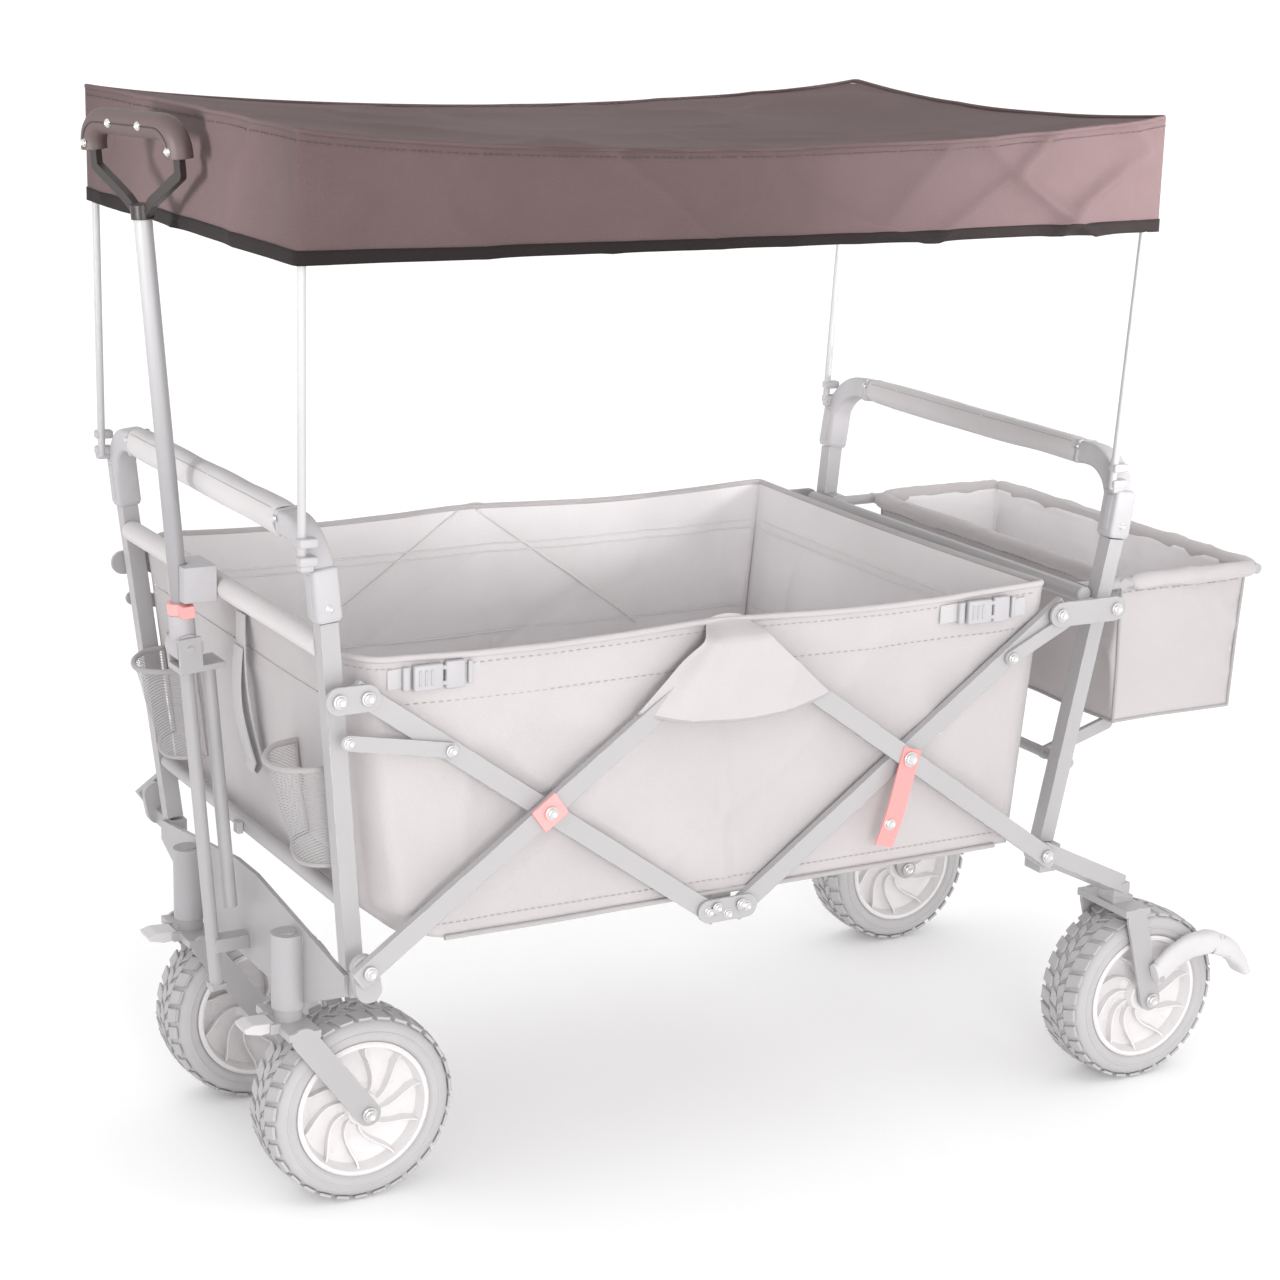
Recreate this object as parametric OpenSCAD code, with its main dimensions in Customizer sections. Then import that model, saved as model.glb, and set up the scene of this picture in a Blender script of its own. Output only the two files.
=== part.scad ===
// Folding pull wagon with a canopy, a centre pull handle and a rear basket.
// X runs from the pull handle (-) to the rear basket (+), Y across, Z up from the floor.
// Lengths below are measured from the front scissor pivots; place() centres the whole wagon.

/* [Wheels] */
// Radius over the tread
wheel_r = 100; // [85:1:110]
// Width of a tyre
tyre_w = 68; // [50:1:70]
// Radius of the hub, where the tyre sits
hub_r = 72; // [55:1:78]
// Radius of every axle
axle_r = 6; // [4:0.5:8]
// Distance between the two front wheel planes
front_track = 280; // [260:2:300]
// Distance between the two rear wheel planes
rear_track = 484; // [440:2:520]
// How far each front axle trails its swivel
caster_trail = 68; // [55:1:75]

/* [Scissor frame] */
// Horizontal reach of a quarter of the scissor
scissor_reach = 186; // [150:2:230]
// Height of the lower scissor pivots
pivot_low = 304; // [295:1:320]
// Half the height between the lower and upper scissor pivots
scissor_rise = 133; // [115:1:150]
// Distance between the two pivots of a middle bracket
middle_gap = 44; // [36:1:60]
// Width of a scissor bar seen from the side
bar_w = 20; // [16:1:24]
// Thickness of a scissor bar
bar_t = 9; // [8:0.5:10]
// Wall of every steel tube
tube_wall = 1.3; // [1:0.1:1.6]

/* [End frames] */
// Half the distance between the posts at the top
post_top_y = 274; // [260:1:290]
// Half the distance between the posts at the foot
post_foot_y = 248; // [235:1:255]
// Side of a square post
post_w = 18; // [16:1:20]
// Height of the push bars
push_bar_z = 720; // [690:5:780]
// Radius of a push bar
push_bar_r = 9; // [8:0.5:11]
// Radius of the padding on a push bar
pad_r = 14; // [12:0.5:17]

/* [Basket] */
// Height of the rim of the basket
rim_z = 603; // [590:1:640]
// Half the width of the basket
basket_y = 284; // [270:1:284]
// Thickness of the fabric walls
fabric_t = 3; // [2:0.5:4]
// Depth of the rear basket from its rim
rear_basket_h = 164; // [120:2:200]
// Length of the rear basket
rear_basket_l = 176; // [140:2:220]

/* [Canopy] */
// Height of the canopy roof
roof_z = 1083; // [1000:1:1200]
// Depth of the canopy valance
valance_h = 117; // [80:1:140]
// Half the width of the canopy
canopy_y = 289; // [287:1:300]
// Radius of a canopy pole
pole_r = 4; // [3:0.5:5]

/* [Pull handle] */
// Height of the handle pivot
handle_pivot_z = 553; // [530:1:570]
// Length of the handle from its pivot to the middle of the grip
handle_l = 515; // [420:5:540]
// Forward lean of the parked handle in degrees
handle_lean = 4.6; // [3:0.2:6]
// Radius of the handle tube
handle_r = 9; // [8:0.5:10]
// Width of the grip between the middles of its ends
grip_w = 150; // [120:2:170]
// Radius of the grip
grip_r = 13; // [11:0.5:15]
// Turn of the grip about the handle in degrees
grip_yaw = 13; // [0:1:15]

/* [Hidden] */
// A small wheel takes a smaller hub, so the tyre keeps its thickness
hub_edge = min(hub_r, wheel_r - 28);

$fn = 48;

// clearances
run_fit = 0.05;      // between a pin and the bore that turns on it
loose_fit = 0.6;     // around the pin of the pivot that closes the scissor loop
seat_gap = 0.3;      // between a soft piece and what carries it
seat_drop = 2.2;     // below the foot of a post, whose end is cut at its lean
socket_gap = 1;      // above the top of a post, before its elbow
rail_gap = 1.3;      // from the end of a rail to the leaning face of a post
bar_gap = 1;         // between the two layers of scissor bars
end_ease = 0.1;      // by which the round end of a strip is smaller than the strip

// scissor frame: pivots in side view
pivot_high = pivot_low + 2 * scissor_rise;
pivot_mid = pivot_low + scissor_rise;
rear_x = 4 * scissor_reach + middle_gap;
foot_f = [0, pivot_low];
foot_block_z = pivot_low - 42;             // underside of the blocks under the front posts
slide_f = [0, pivot_high];
cross_f = [scissor_reach, pivot_mid];
top_f = [2 * scissor_reach, pivot_high];
base_f = [2 * scissor_reach, pivot_low];
top_r = [2 * scissor_reach + middle_gap, pivot_high];
base_r = [2 * scissor_reach + middle_gap, pivot_low];
cross_r = [3 * scissor_reach + middle_gap, pivot_mid];
slide_r = [rear_x, pivot_high];
foot_r = [rear_x, pivot_low];
bar_end = 12;        // how far a bar runs past its end pivots
pin_r = 4;           // radius of the scissor pins
head_r = 7;          // radius of a pin head
head_t = 2.5;        // how far a pin head stands out
head_gap = 0.4;      // between a bar and the head of its pin
plate_t = 3.5;       // thickness of the flat brackets
inner_y = basket_y + 3.5;                  // inboard face of the inner bars
outer_y = inner_y + bar_t + bar_gap;       // inboard face of the outer bars
skin_y = outer_y + bar_t;                  // outboard face of the outer bars

// end frames: leaning posts
front_top = [-30, post_top_y, 640];
front_foot = [6, post_foot_y, 290];
rear_top = [rear_x + 85, post_top_y, 640];
rear_foot = [rear_x + 38, post_foot_y, 300];
elbow_w = 24;        // width of a moulded elbow
elbow_bend = 50;     // bend radius of an elbow at its middle
elbow_reach = 20;    // straight part of an elbow along the push bar
front_lean = atan2(front_foot.x - front_top.x, front_top.z - front_foot.z);
rear_lean = -atan2(rear_top.x - rear_foot.x, rear_top.z - rear_foot.z);
front_bar_x = front_top.x - tan(front_lean) * (push_bar_z - front_top.z);
rear_bar_x = rear_top.x - tan(rear_lean) * (push_bar_z - rear_top.z);
bar_half = post_top_y - elbow_bend - elbow_reach;

// upper front rail, which the basket's front rim hangs from
rail_r = 11;
rail_z = 613;
rail_x = post_x(front_top, front_foot, rail_z) - 2;
lower_rail_r = 8;
lower_rail_z = 356;

// casters
swivel_x = -15;
beam_x = swivel_x + 10;
beam_t = 5;
beam_top = 312;
stem_r = 8;
housing_r = 17;
housing_z = [wheel_r + 112, wheel_r + 190];
crown_z = wheel_r + 92;
crown_t = 8;
front_axle_x = swivel_x + caster_trail;
fork_gap = 6;                              // from a tyre's side to a fork leg
fork_t = 4;
fork_y = tyre_w / 2 + fork_gap;
lock_pin = [swivel_x - 22, crown_z + 5];   // pivot of the pedals on the casters
lock_pin_r = 2.5;
lock_y = 13;                               // half the width of those pedals
leg_w = 26;

// rear wheels
rear_axle_x = rear_x + 178;
rear_head = [rear_axle_x - 27, rear_track / 2, wheel_r + 118];
rear_crown_z = wheel_r + 104;

// basket
basket_base = pivot_low + 13;
knee_z = 350;                              // where the front wall turns in to the floor
knee_run = 40;
basket_front = [rail_x + rail_r + seat_gap, post_x(front_top, front_foot, knee_z) + 12];
basket_rear = [rear_x - 11, rear_x - 38];
mat_t = 14;
mat_gap = 12;                              // between the mat and the walls at its ends
mat_y = basket_y - fabric_t - 6;

// canopy
canopy_x = [-62, rear_x + 106];
canopy_t = 2.5;

// rear basket
rear_rail_r = 6;
rear_rail_z = 578;
rear_basket_y = 235;
rear_basket_x = rear_x + 135 + seat_gap;

// pull handle
handle_pivot_x = -67;
column_gap = 23;                           // between the two column tubes
column_r = 7;
column_foot_z = 190;

// the wagon is centred between the front of the grip and the back of the rear basket
front_end = handle_pivot_x - sin(handle_lean) * handle_l
    - sin(grip_yaw) * grip_w / 2 - grip_r;
rear_end = rear_basket_x + rear_basket_l + 2 * rear_rail_r;
origin_x = (front_end + rear_end) / 2;

steel = [0.72, 0.71, 0.72];
plastic = [0.68, 0.67, 0.68];
cloth = [0.85, 0.82, 0.83];
canopy_cloth = [0.58, 0.48, 0.49];
red = [0.94, 0.74, 0.74];

// where a leaning post is at a given height
function post_x(top, foot, z) = foot.x + (top.x - foot.x) * (z - foot.z) / (top.z - foot.z);
function post_y(top, foot, z) = foot.y + (top.y - foot.y) * (z - foot.z) / (top.z - foot.z);
// slope of a line in side view, in degrees
function slope(a, b) = atan2(b[1] - a[1], b[0] - a[0]);

module place() { translate([-origin_x, 0, 0]) children(); }
module both() { children(); mirror([0, 1, 0]) children(); }

// something drawn in side view, between two distances from the middle plane
module side(y0, y1) {
    translate([0, y1, 0]) rotate([90, 0, 0]) linear_extrude(y1 - y0) children();
}

// a strip with round ends, in side view
module strip(a, b, w) {
    translate(a) rotate(slope(a, b)) translate([0, -w / 2]) square([norm(b - a), w]);
    for (p = [a, b]) translate(p) circle(w / 2 - end_ease);
}

module disc(p, r) { translate(p) circle(r); }

// a pin across the wagon
module pin(p, y0, y1, r) { side(y0, y1) disc(p, r); }

// a square tube from one point to another, its sides square to the wagon
module square_tube(a, b, w, wall) {
    d = b - a;
    turn = atan2(d.y, d.x);
    translate(a) rotate([0, acos(d.z / norm(d)), turn]) rotate([0, 0, -turn])
        linear_extrude(norm(d)) difference() {
            square(w, center = true);
            square(w - 2 * wall, center = true);
        }
}

// a round tube from one point to another
module round_tube(a, b, r, wall) {
    d = b - a;
    translate(a) rotate([0, acos(d.z / norm(d)), atan2(d.y, d.x)]) linear_extrude(norm(d))
        difference() {
            circle(r);
            if (wall > 0) circle(r - wall);
        }
}

// a round bar across the wagon
module cross_bar(x, z, half, r, wall) {
    round_tube([x, -half, z], [x, half, z], r, wall);
}

// ---- scissor bars ----

// a hollow flat bar between two pivots in side view
module scissor_bar(a, b, y0) {
    run = norm(b - a) + 2 * bar_end;
    translate([a[0], y0 + bar_t / 2, a[1]]) rotate([0, -slope(a, b), 0])
        translate([-bar_end, 0, 0]) rotate([90, 0, 90]) linear_extrude(run)
            difference() {
                square([bar_t, bar_w], center = true);
                square([bar_t, bar_w] - 2 * [tube_wall, tube_wall], center = true);
            }
}

// the same bar with bores where pins turn in it
module bored_bar(a, b, y0, bores, wide_bores = []) {
    difference() {
        scissor_bar(a, b, y0);
        for (p = bores) pin(p, y0 - 1, y0 + bar_t + 1, pin_r + run_fit);
        for (p = wide_bores) pin(p, y0 - 1, y0 + bar_t + 1, pin_r + loose_fit);
    }
}

// a pin with a head on its outboard end
module headed_pin(p, y0, y1) {
    pin(p, y0, y1, pin_r);
    pin(p, y1, y1 + head_t, head_r);
}

front_link_p = [-18, 529];
front_link_q = slide_f + 104 * [cos(slope(slide_f, base_f)), sin(slope(slide_f, base_f))];
rear_link_p = [rear_x + 42, 576];
rear_link_q = slide_r + 71 * [-cos(slope(base_r, slide_r)), -sin(slope(base_r, slide_r))];
link_w = 15;

module scissor_a() {
    color(steel) place() both()
        bored_bar(slide_f, base_f, inner_y, [slide_f, front_link_q, cross_f, base_f]);
}

module scissor_b() {
    color(steel) place() both() {
        bored_bar(foot_f, top_f, outer_y, [foot_f, top_f]);
        pin(cross_f, inner_y, outer_y + bar_t, pin_r);
    }
}

module scissor_c() {
    color(steel) place() both()
        bored_bar(base_r, slide_r, inner_y, [cross_r, rear_link_q, slide_r], [base_r]);
}

module scissor_d() {
    color(steel) place() both() {
        bored_bar(top_r, foot_r, outer_y, [top_r, foot_r]);
        pin(cross_r, inner_y, outer_y + bar_t, pin_r);
    }
}

// square red plates over the front crossings
module pivot_plates() {
    color(red) place() both() {
        side(skin_y, skin_y + plate_t) translate(cross_f) rotate(slope(foot_f, top_f))
            square([30, 26], center = true);
        pin(cross_f, skin_y + plate_t, skin_y + plate_t + head_t, head_r);
    }
}

// red strap with a press stud, which ties the folded frame; on the near side only
module fold_strap() {
    hang = cross_r + [-24, -80];
    color(red) place() mirror([0, 1, 0]) {
        side(skin_y, skin_y + 2) strip(cross_r, hang, 22);
        pin(cross_r, skin_y + 2, skin_y + 2 + head_t, head_r);
    }
}

module middle_bracket(a, b, y0, y1, pin0, pin1) {
    side(y0, y1) strip(a, b, 24);
    for (p = [a, b]) pin(p, pin0, pin1, pin_r);
}

module top_brackets() {
    color(steel) place() both() {
        middle_bracket(top_f, top_r, inner_y, inner_y + plate_t, inner_y, skin_y + head_t);
        for (p = [top_f, top_r]) pin(p, skin_y + head_gap, skin_y + head_t, head_r);
    }
}

// the lower middle brackets, joined by the tube that the basket's floor rests on
module base_brackets() {
    mid = (base_f + base_r) / 2 + [0, 4];
    color(steel) place() {
        both() {
            middle_bracket(base_f, base_r, outer_y, outer_y + plate_t, inner_y, outer_y);
            for (x = [-14, 14]) pin(mid + [x, -4], outer_y + plate_t, outer_y + 6, 4);
            side(inner_y - 8, inner_y - 1) square_at(mid, [22, 18]);
            side(inner_y - 1, outer_y) square_at(mid - [0, 8], [12, 10]);
        }
        difference() {
            cross_bar(mid[0], mid[1], inner_y - 8, 8.7, 0);
            cross_bar(mid[0], mid[1], inner_y - 7, 8.7 - tube_wall, 0);
        }
    }
}

module square_at(p, size) { translate(p) square(size, center = true); }

// brackets that ride up beside the posts as the frame folds
module slide_bracket(p, reach, y) {
    side(y, y + plate_t) strip(p, p + [reach, 0], 26);
    pin(p, inner_y, y, pin_r);
    for (q = [p, p + [reach, 0]]) pin(q, y + plate_t, y + plate_t + head_t, head_r);
}

// the rear brackets lie outside the rear links
module front_slide_brackets() {
    color(steel) place() both() slide_bracket(slide_f, -28, outer_y);
}
module rear_slide_brackets() {
    color(steel) place() both() slide_bracket(slide_r, 72, outer_y + plate_t + 0.5);
}

// a short link, pinned to its scissor bar at q and free at p beside the post
module link(p, q) {
    side(outer_y, outer_y + plate_t) strip(p, q, link_w);
    pin(q, inner_y, outer_y, pin_r);
    pin(q, outer_y + plate_t, outer_y + plate_t + head_t, head_r - 1);
}

module front_links() { color(steel) place() both() link(front_link_p, front_link_q); }
module rear_links() { color(steel) place() both() link(rear_link_p, rear_link_q); }

// ---- end frames ----

module posts(top, foot) { both() square_tube(foot, top, post_w, tube_wall); }
module front_posts() { color(steel) place() posts(front_top, front_foot); }
module rear_posts() { color(steel) place() posts(rear_top, rear_foot); }

// moulded corner: a socket on the post, a quarter bend and a socket on the push bar
module elbow(top, lean) {
    rise = (push_bar_z - top.z) / cos(lean);
    translate(top) rotate([0, -lean, 0]) {
        translate([-elbow_w / 2, -elbow_w / 2, socket_gap])
            cube([elbow_w, elbow_w, rise - elbow_bend - socket_gap]);
        translate([0, -elbow_bend, rise - elbow_bend]) rotate([0, 90, 0]) rotate([0, 0, 90])
            rotate_extrude(angle = 90) translate([elbow_bend, 0])
                square(elbow_w, center = true);
        translate([-elbow_w / 2, -elbow_bend - elbow_reach, rise - elbow_w / 2])
            cube([elbow_w, elbow_reach, elbow_w]);
    }
}

module elbows(top, lean, bar_x) {
    both() difference() {
        elbow(top, lean);
        cross_bar(bar_x, push_bar_z, bar_half + elbow_reach - 2, push_bar_r + run_fit, 0);
    }
}

module front_elbows() { color(plastic) place() elbows(front_top, front_lean, front_bar_x); }
module rear_elbows() { color(plastic) place() elbows(rear_top, rear_lean, rear_bar_x); }

module front_push_bar() {
    color(steel) place()
        cross_bar(front_bar_x, push_bar_z, bar_half + elbow_reach - 3, push_bar_r, tube_wall);
}

module rear_push_bar() {
    color(steel) place()
        cross_bar(rear_bar_x, push_bar_z, bar_half + elbow_reach - 3, push_bar_r, tube_wall);
}

module sleeve(x, r) {
    difference() {
        cross_bar(x, push_bar_z, bar_half - 1, r, 0);
        cross_bar(x, push_bar_z, bar_half, push_bar_r + seat_gap, 0);
    }
}

module front_grip_pad() { color(cloth) place() sleeve(front_bar_x, pad_r); }
module rear_grip_wrap() { color(cloth) place() sleeve(rear_bar_x, pad_r - 1); }

module front_upper_rail() {
    half = post_y(front_top, front_foot, rail_z) - post_w / 2 - rail_gap;
    color(cloth) place() cross_bar(rail_x, rail_z, half, rail_r, rail_r - 6);
}

module front_lower_rail() {
    half = post_y(front_top, front_foot, lower_rail_z) - post_w / 2 - rail_gap;
    color(steel) place() cross_bar(post_x(front_top, front_foot, lower_rail_z), lower_rail_z,
        half, lower_rail_r, tube_wall);
}

// block under each front post with an ear that carries the lower scissor pin
module front_feet() {
    color(steel) place() both() {
        translate([beam_x + beam_t, front_foot.y - 12, foot_block_z])
            cube([front_foot.x + 12 - beam_x - beam_t, 26,
                front_foot.z - seat_drop - foot_block_z]);
        translate([beam_x + beam_t, front_foot.y, foot_block_z + 8])
            cube([18, inner_y - front_foot.y, 16]);
        side(inner_y, inner_y + bar_t) strip([4, foot_block_z + 20], foot_f, 26);
        headed_pin(foot_f, inner_y + bar_t, skin_y + head_gap);
    }
}

// plate between the posts that carries the two caster housings
module caster_beam() {
    wide = front_foot.y + 8;
    ht = housing_z;
    color(steel) place() difference() {
        union() {
            translate([beam_x, 0, 0]) rotate([90, 0, 90]) linear_extrude(beam_t) polygon([
                [-28, beam_top], [28, beam_top], [wide, beam_top - 28], [wide, foot_block_z],
                [front_track / 2, ht[0]], [-front_track / 2, ht[0]], [-wide, foot_block_z],
                [-wide, beam_top - 28]
            ]);
            for (s = [-1, 1]) translate([swivel_x, s * front_track / 2, ht[0]])
                cylinder(h = ht[1] - ht[0], r = housing_r);
        }
        for (s = [-1, 1]) translate([swivel_x, s * front_track / 2, ht[0] - 1])
            cylinder(h = ht[1] - ht[0] + 2, r = stem_r + run_fit);
    }
}

// ---- pull handle ----

// places things in the leaning frame of the handle, with its pivot at the origin
module on_handle() {
    translate([handle_pivot_x, 0, handle_pivot_z]) rotate([0, -handle_lean, 0]) children();
}

clevis_y = 15;       // half the gap of the handle's pivot ears
ear_t = 4;
clevis_drop = 24;    // from the handle's pivot down to the foot of its clevis
tube_seat = 18;      // from the handle's pivot up to the foot of its tube
yoke_drop = 90;      // from the middle of the grip down to the foot of the yoke
collar_z = 34.3;     // from the handle's pivot up to the red collar
collar_h = 12;

module handle_column() {
    foot = -(handle_pivot_z - column_foot_z) / cos(handle_lean);
    color(steel) place() {
        on_handle() {
            translate([0, 0, foot]) linear_extrude(-foot - clevis_drop)
                ring(column_r, tube_wall);
            translate([column_gap, 0, foot + 80])
                linear_extrude(-foot - 80 - clevis_drop) ring(column_r, tube_wall);
            translate([-12, -clevis_y - ear_t, -clevis_drop])
                cube([column_gap + 24, 2 * (clevis_y + ear_t), 6]);
            for (s = [-1, 1]) translate([-12, s > 0 ? clevis_y : -clevis_y - ear_t, 6 - clevis_drop])
                cube([24, ear_t, 30]);
            rotate([90, 0, 0]) cylinder(h = 2 * (clevis_y + ear_t + 2), r = pin_r, center = true);
            translate([-8, -8, foot - 6]) cube([16, 16, 6]);
        }
        // arms from the column back to the lower rail and to the caster beam
        translate([handle_pivot_x + 52, -6, lower_rail_z - 6])
            cube([-lower_rail_r - seat_gap + post_x(front_top, front_foot, lower_rail_z)
                - handle_pivot_x - 52, 12, 12]);
        translate([swivel_x - 26, -10, 226]) cube([beam_x - swivel_x + 26, 20, 14]);
    }
}

module ring(r, wall) { difference() { circle(r); circle(r - wall); } }

// clip at the middle of the upper rail that holds the parked handle
module latch_block() {
    back = rail_x - rail_r - seat_gap;
    color(plastic) place() difference() {
        translate([back - 34, -24, rail_z - 11]) cube([34, 48, 36]);
        on_handle() translate([0, 0, rail_z - handle_pivot_z])
            cylinder(h = 80, r = handle_r + 1, center = true);
        translate([back - 60, -handle_r + 1, rail_z - 40]) cube([36, 2 * handle_r - 2, 90]);
    }
}

// swinging block at the foot of the handle
module handle_joint() {
    color(plastic) place() on_handle() difference() {
        union() {
            rotate([90, 0, 0]) cylinder(h = 2 * clevis_y - 1, r = 15, center = true);
            cylinder(h = 34, r = handle_r + 4);
        }
        rotate([90, 0, 0]) cylinder(h = 60, r = pin_r + run_fit, center = true);
        translate([0, 0, tube_seat]) cylinder(h = 30, r = handle_r + run_fit);
    }
}

module handle_tube() {
    color(steel) place() on_handle() translate([0, 0, tube_seat + 0.2])
        linear_extrude(handle_l - tube_seat - 0.2 - yoke_drop) ring(handle_r, tube_wall);
}

// fork of two flat bars between the tube and the grip
module handle_yoke() {
    foot = handle_l - yoke_drop;
    low = [0, foot + 0.2];
    mid = [22, foot + 18];
    top = [grip_w / 2 - 2, handle_l - 28];
    color("black") place() on_handle() rotate([0, 0, grip_yaw]) {
        translate([0, 0, foot - 22]) cylinder(h = 22.2, r = handle_r - tube_wall - run_fit);
        translate([0, 0, low[1]]) cylinder(h = 14, r = handle_r + 2);
        for (s = [-1, 1]) translate([3.5, 0, 0]) rotate([0, -90, 0]) linear_extrude(7)
            scale([1, s]) union() {
                strip([low[1], low[0]], [mid[1], mid[0]], 10);
                strip([mid[1], mid[0]], [top[1] - 16, top[0]], 10);
                translate([top[1] - 16, top[0] - 5]) square([16, 10]);
            }
    }
}

// arched grip: a straight top and two turned-down ends
module handle_grip() {
    bend = 24;
    color("black") place() on_handle() rotate([0, 0, grip_yaw]) translate([0, 0, handle_l]) {
        translate([0, grip_w / 2 - bend, 0]) rotate([90, 0, 0])
            cylinder(h = grip_w - 2 * bend, r = grip_r);
        for (s = [0, 180]) rotate([0, 0, s]) {
            translate([0, grip_w / 2 - bend, -bend]) rotate([0, 90, 0]) rotate([0, 0, 90])
                rotate_extrude(angle = 90) translate([bend, 0]) circle(grip_r);
            translate([0, grip_w / 2, -bend - 3.8]) cylinder(h = 3.8, r = grip_r);
        }
    }
}

// red collar that is turned to free the parked handle
module handle_latch() {
    color(red) place() on_handle() translate([0, 0, collar_z]) difference() {
        union() {
            cylinder(h = collar_h, r = handle_r + 4);
            translate([-6, -26, 0]) cube([12, 26, collar_h]);
        }
        translate([0, 0, -1]) cylinder(h = collar_h + 2, r = handle_r + run_fit);
    }
}

// ---- wheels ----

module tyre(x, y) {
    shoulder = 9;
    half = tyre_w / 2;
    color(plastic) place() translate([x, y, wheel_r]) rotate([90, 0, 0])
        rotate_extrude($fn = 96) polygon([
            [hub_edge, -half + 3], [hub_edge + 6, -half], [wheel_r - shoulder - 6, -half],
            [wheel_r - 3, -half + shoulder], [wheel_r, -half + 2 * shoulder],
            [wheel_r, half - 2 * shoulder], [wheel_r - 3, half - shoulder],
            [wheel_r - shoulder - 6, half], [hub_edge + 6, half], [hub_edge, half - 3]
        ]);
}

module hub(x, y) {
    rim = hub_edge - 0.2;
    half = tyre_w / 2 - 2;
    color([0.94, 0.93, 0.93]) place() translate([x, y, wheel_r]) rotate([90, 0, 0])
        difference() {
            union() {
                rotate_extrude($fn = 96) polygon([
                    [rim - 4, -half], [rim, -half], [rim, half], [rim - 4, half],
                    [rim - 6, 4], [rim - 6, -4]
                ]);
                translate([0, 0, -4]) cylinder(h = 8, r = rim - 5);
                translate([0, 0, -half]) cylinder(h = 2 * half, r = 15);
                for (i = [0 : 9]) rotate(36 * i) translate([13, -1.5, -half + 7])
                    cube([rim - 17, 3, 2 * half - 14]);
            }
            translate([0, 0, -half - 1]) cylinder(h = 2 * half + 2, r = axle_r + run_fit);
        }
}

module tyre_front_near() { tyre(front_axle_x, -front_track / 2); }
module tyre_front_far() { tyre(front_axle_x, front_track / 2); }
module tyre_rear_near() { tyre(rear_axle_x, -rear_track / 2); }
module tyre_rear_far() { tyre(rear_axle_x, rear_track / 2); }
module hub_front_near() { hub(front_axle_x, -front_track / 2); }
module hub_front_far() { hub(front_axle_x, front_track / 2); }
module hub_rear_near() { hub(rear_axle_x, -rear_track / 2); }
module hub_rear_far() { hub(rear_axle_x, rear_track / 2); }

// an axle with its heads and the spacers that keep the hub between the fork legs
module axle(x) {
    translate([x, 0, wheel_r]) rotate([90, 0, 0]) {
        cylinder(h = 2 * (fork_y + fork_t), r = axle_r, center = true);
        for (s = [-1, 1]) {
            translate([0, 0, s * (fork_y + fork_t + 1.5)]) cylinder(h = 3, r = 8, center = true);
            translate([0, 0, s * (fork_y - (fork_gap + 1.5) / 2)])
                cylinder(h = fork_gap + 1.5, r = 10, center = true);
        }
    }
}

// the two legs of a fork, from above the tyre to the axle
module fork_legs(top, x) {
    for (s = [-1, 1])
        side(s > 0 ? fork_y : -fork_y - fork_t, s > 0 ? fork_y + fork_t : -fork_y)
            strip(top, [x, wheel_r], leg_w);
}

module caster_fork(y) {
    half = fork_y + fork_t;
    color(steel) place() translate([0, y, 0]) {
        fork_legs([swivel_x, crown_z - 1], front_axle_x);
        axle(front_axle_x);
        translate([swivel_x - 17, -half, crown_z]) cube([34, 2 * half, crown_t]);
        translate([swivel_x, 0, crown_z + crown_t])
            cylinder(h = housing_z[0] - seat_gap - crown_z - crown_t, r = 14);
        translate([swivel_x, 0, crown_z + crown_t])
            cylinder(h = housing_z[1] - crown_z - crown_t + 1, r = stem_r);
        for (s = [-1, 1]) translate([lock_pin[0] - 3, s * (lock_y + 3) - 2, crown_z])
            cube([10, 4, 10]);
        pin(lock_pin, -lock_y - 5, lock_y + 5, lock_pin_r);
    }
}

module caster_fork_near() { caster_fork(-front_track / 2); }
module caster_fork_far() { caster_fork(front_track / 2); }

// foot pedal that locks the swivel
module caster_pedal(y) {
    color([0.85, 0.84, 0.85]) place() translate([0, y, 0]) difference() {
        side(-lock_y, lock_y) {
            disc(lock_pin, 5);
            translate(lock_pin)
                polygon([[0, -5], [0, 5], [-20, 6], [-30, 3], [-28, -2], [-12, -6]]);
        }
        pin(lock_pin, -lock_y - 1, lock_y + 1, lock_pin_r + run_fit);
    }
}

module caster_pedal_near() { caster_pedal(-front_track / 2); }
module caster_pedal_far() { caster_pedal(front_track / 2); }

// ---- rear running gear ----

// legs that run on from the scissor bars, down and back to the rear forks
module rear_legs() {
    start = [rear_x + 12, inner_y - 11, pivot_low - 5];
    finish = [rear_head.x, rear_head.y + 4, rear_head.z + 12];
    color(steel) place() both() {
        square_tube(start, finish, 20, 1.5);
        translate([rear_head.x - 14, rear_head.y - 12, rear_head.z]) cube([22, 28, 16]);
        translate([rear_foot.x - 14, rear_foot.y - 9, rear_foot.z - 32])
            cube([26, inner_y - 21 - rear_foot.y + 9, 32 - seat_drop]);
        side(inner_y - 6, inner_y + bar_t) strip(foot_r, foot_r + [10, -7], 24);
        headed_pin(foot_r, inner_y + bar_t, skin_y + head_gap);
    }
}

module rear_forks() {
    half = fork_y + fork_t;
    color(steel) place() both() translate([0, rear_track / 2, 0]) {
        fork_legs([rear_head.x, rear_crown_z - 4], rear_axle_x);
        axle(rear_axle_x);
        translate([rear_head.x - 17, -half, rear_crown_z]) cube([34, 2 * half, crown_t]);
        translate([rear_head.x - 14, -12, rear_crown_z + crown_t])
            cube([28, 28, rear_head.z - rear_crown_z - crown_t]);
    }
    color(steel) place() both()
        pin(rear_pedal_p, rear_track / 2 + fork_y + fork_t, rear_track / 2 + half + 14, pin_r);
}

rear_pedal_p = [rear_axle_x + 2, wheel_r + 30];

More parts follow.
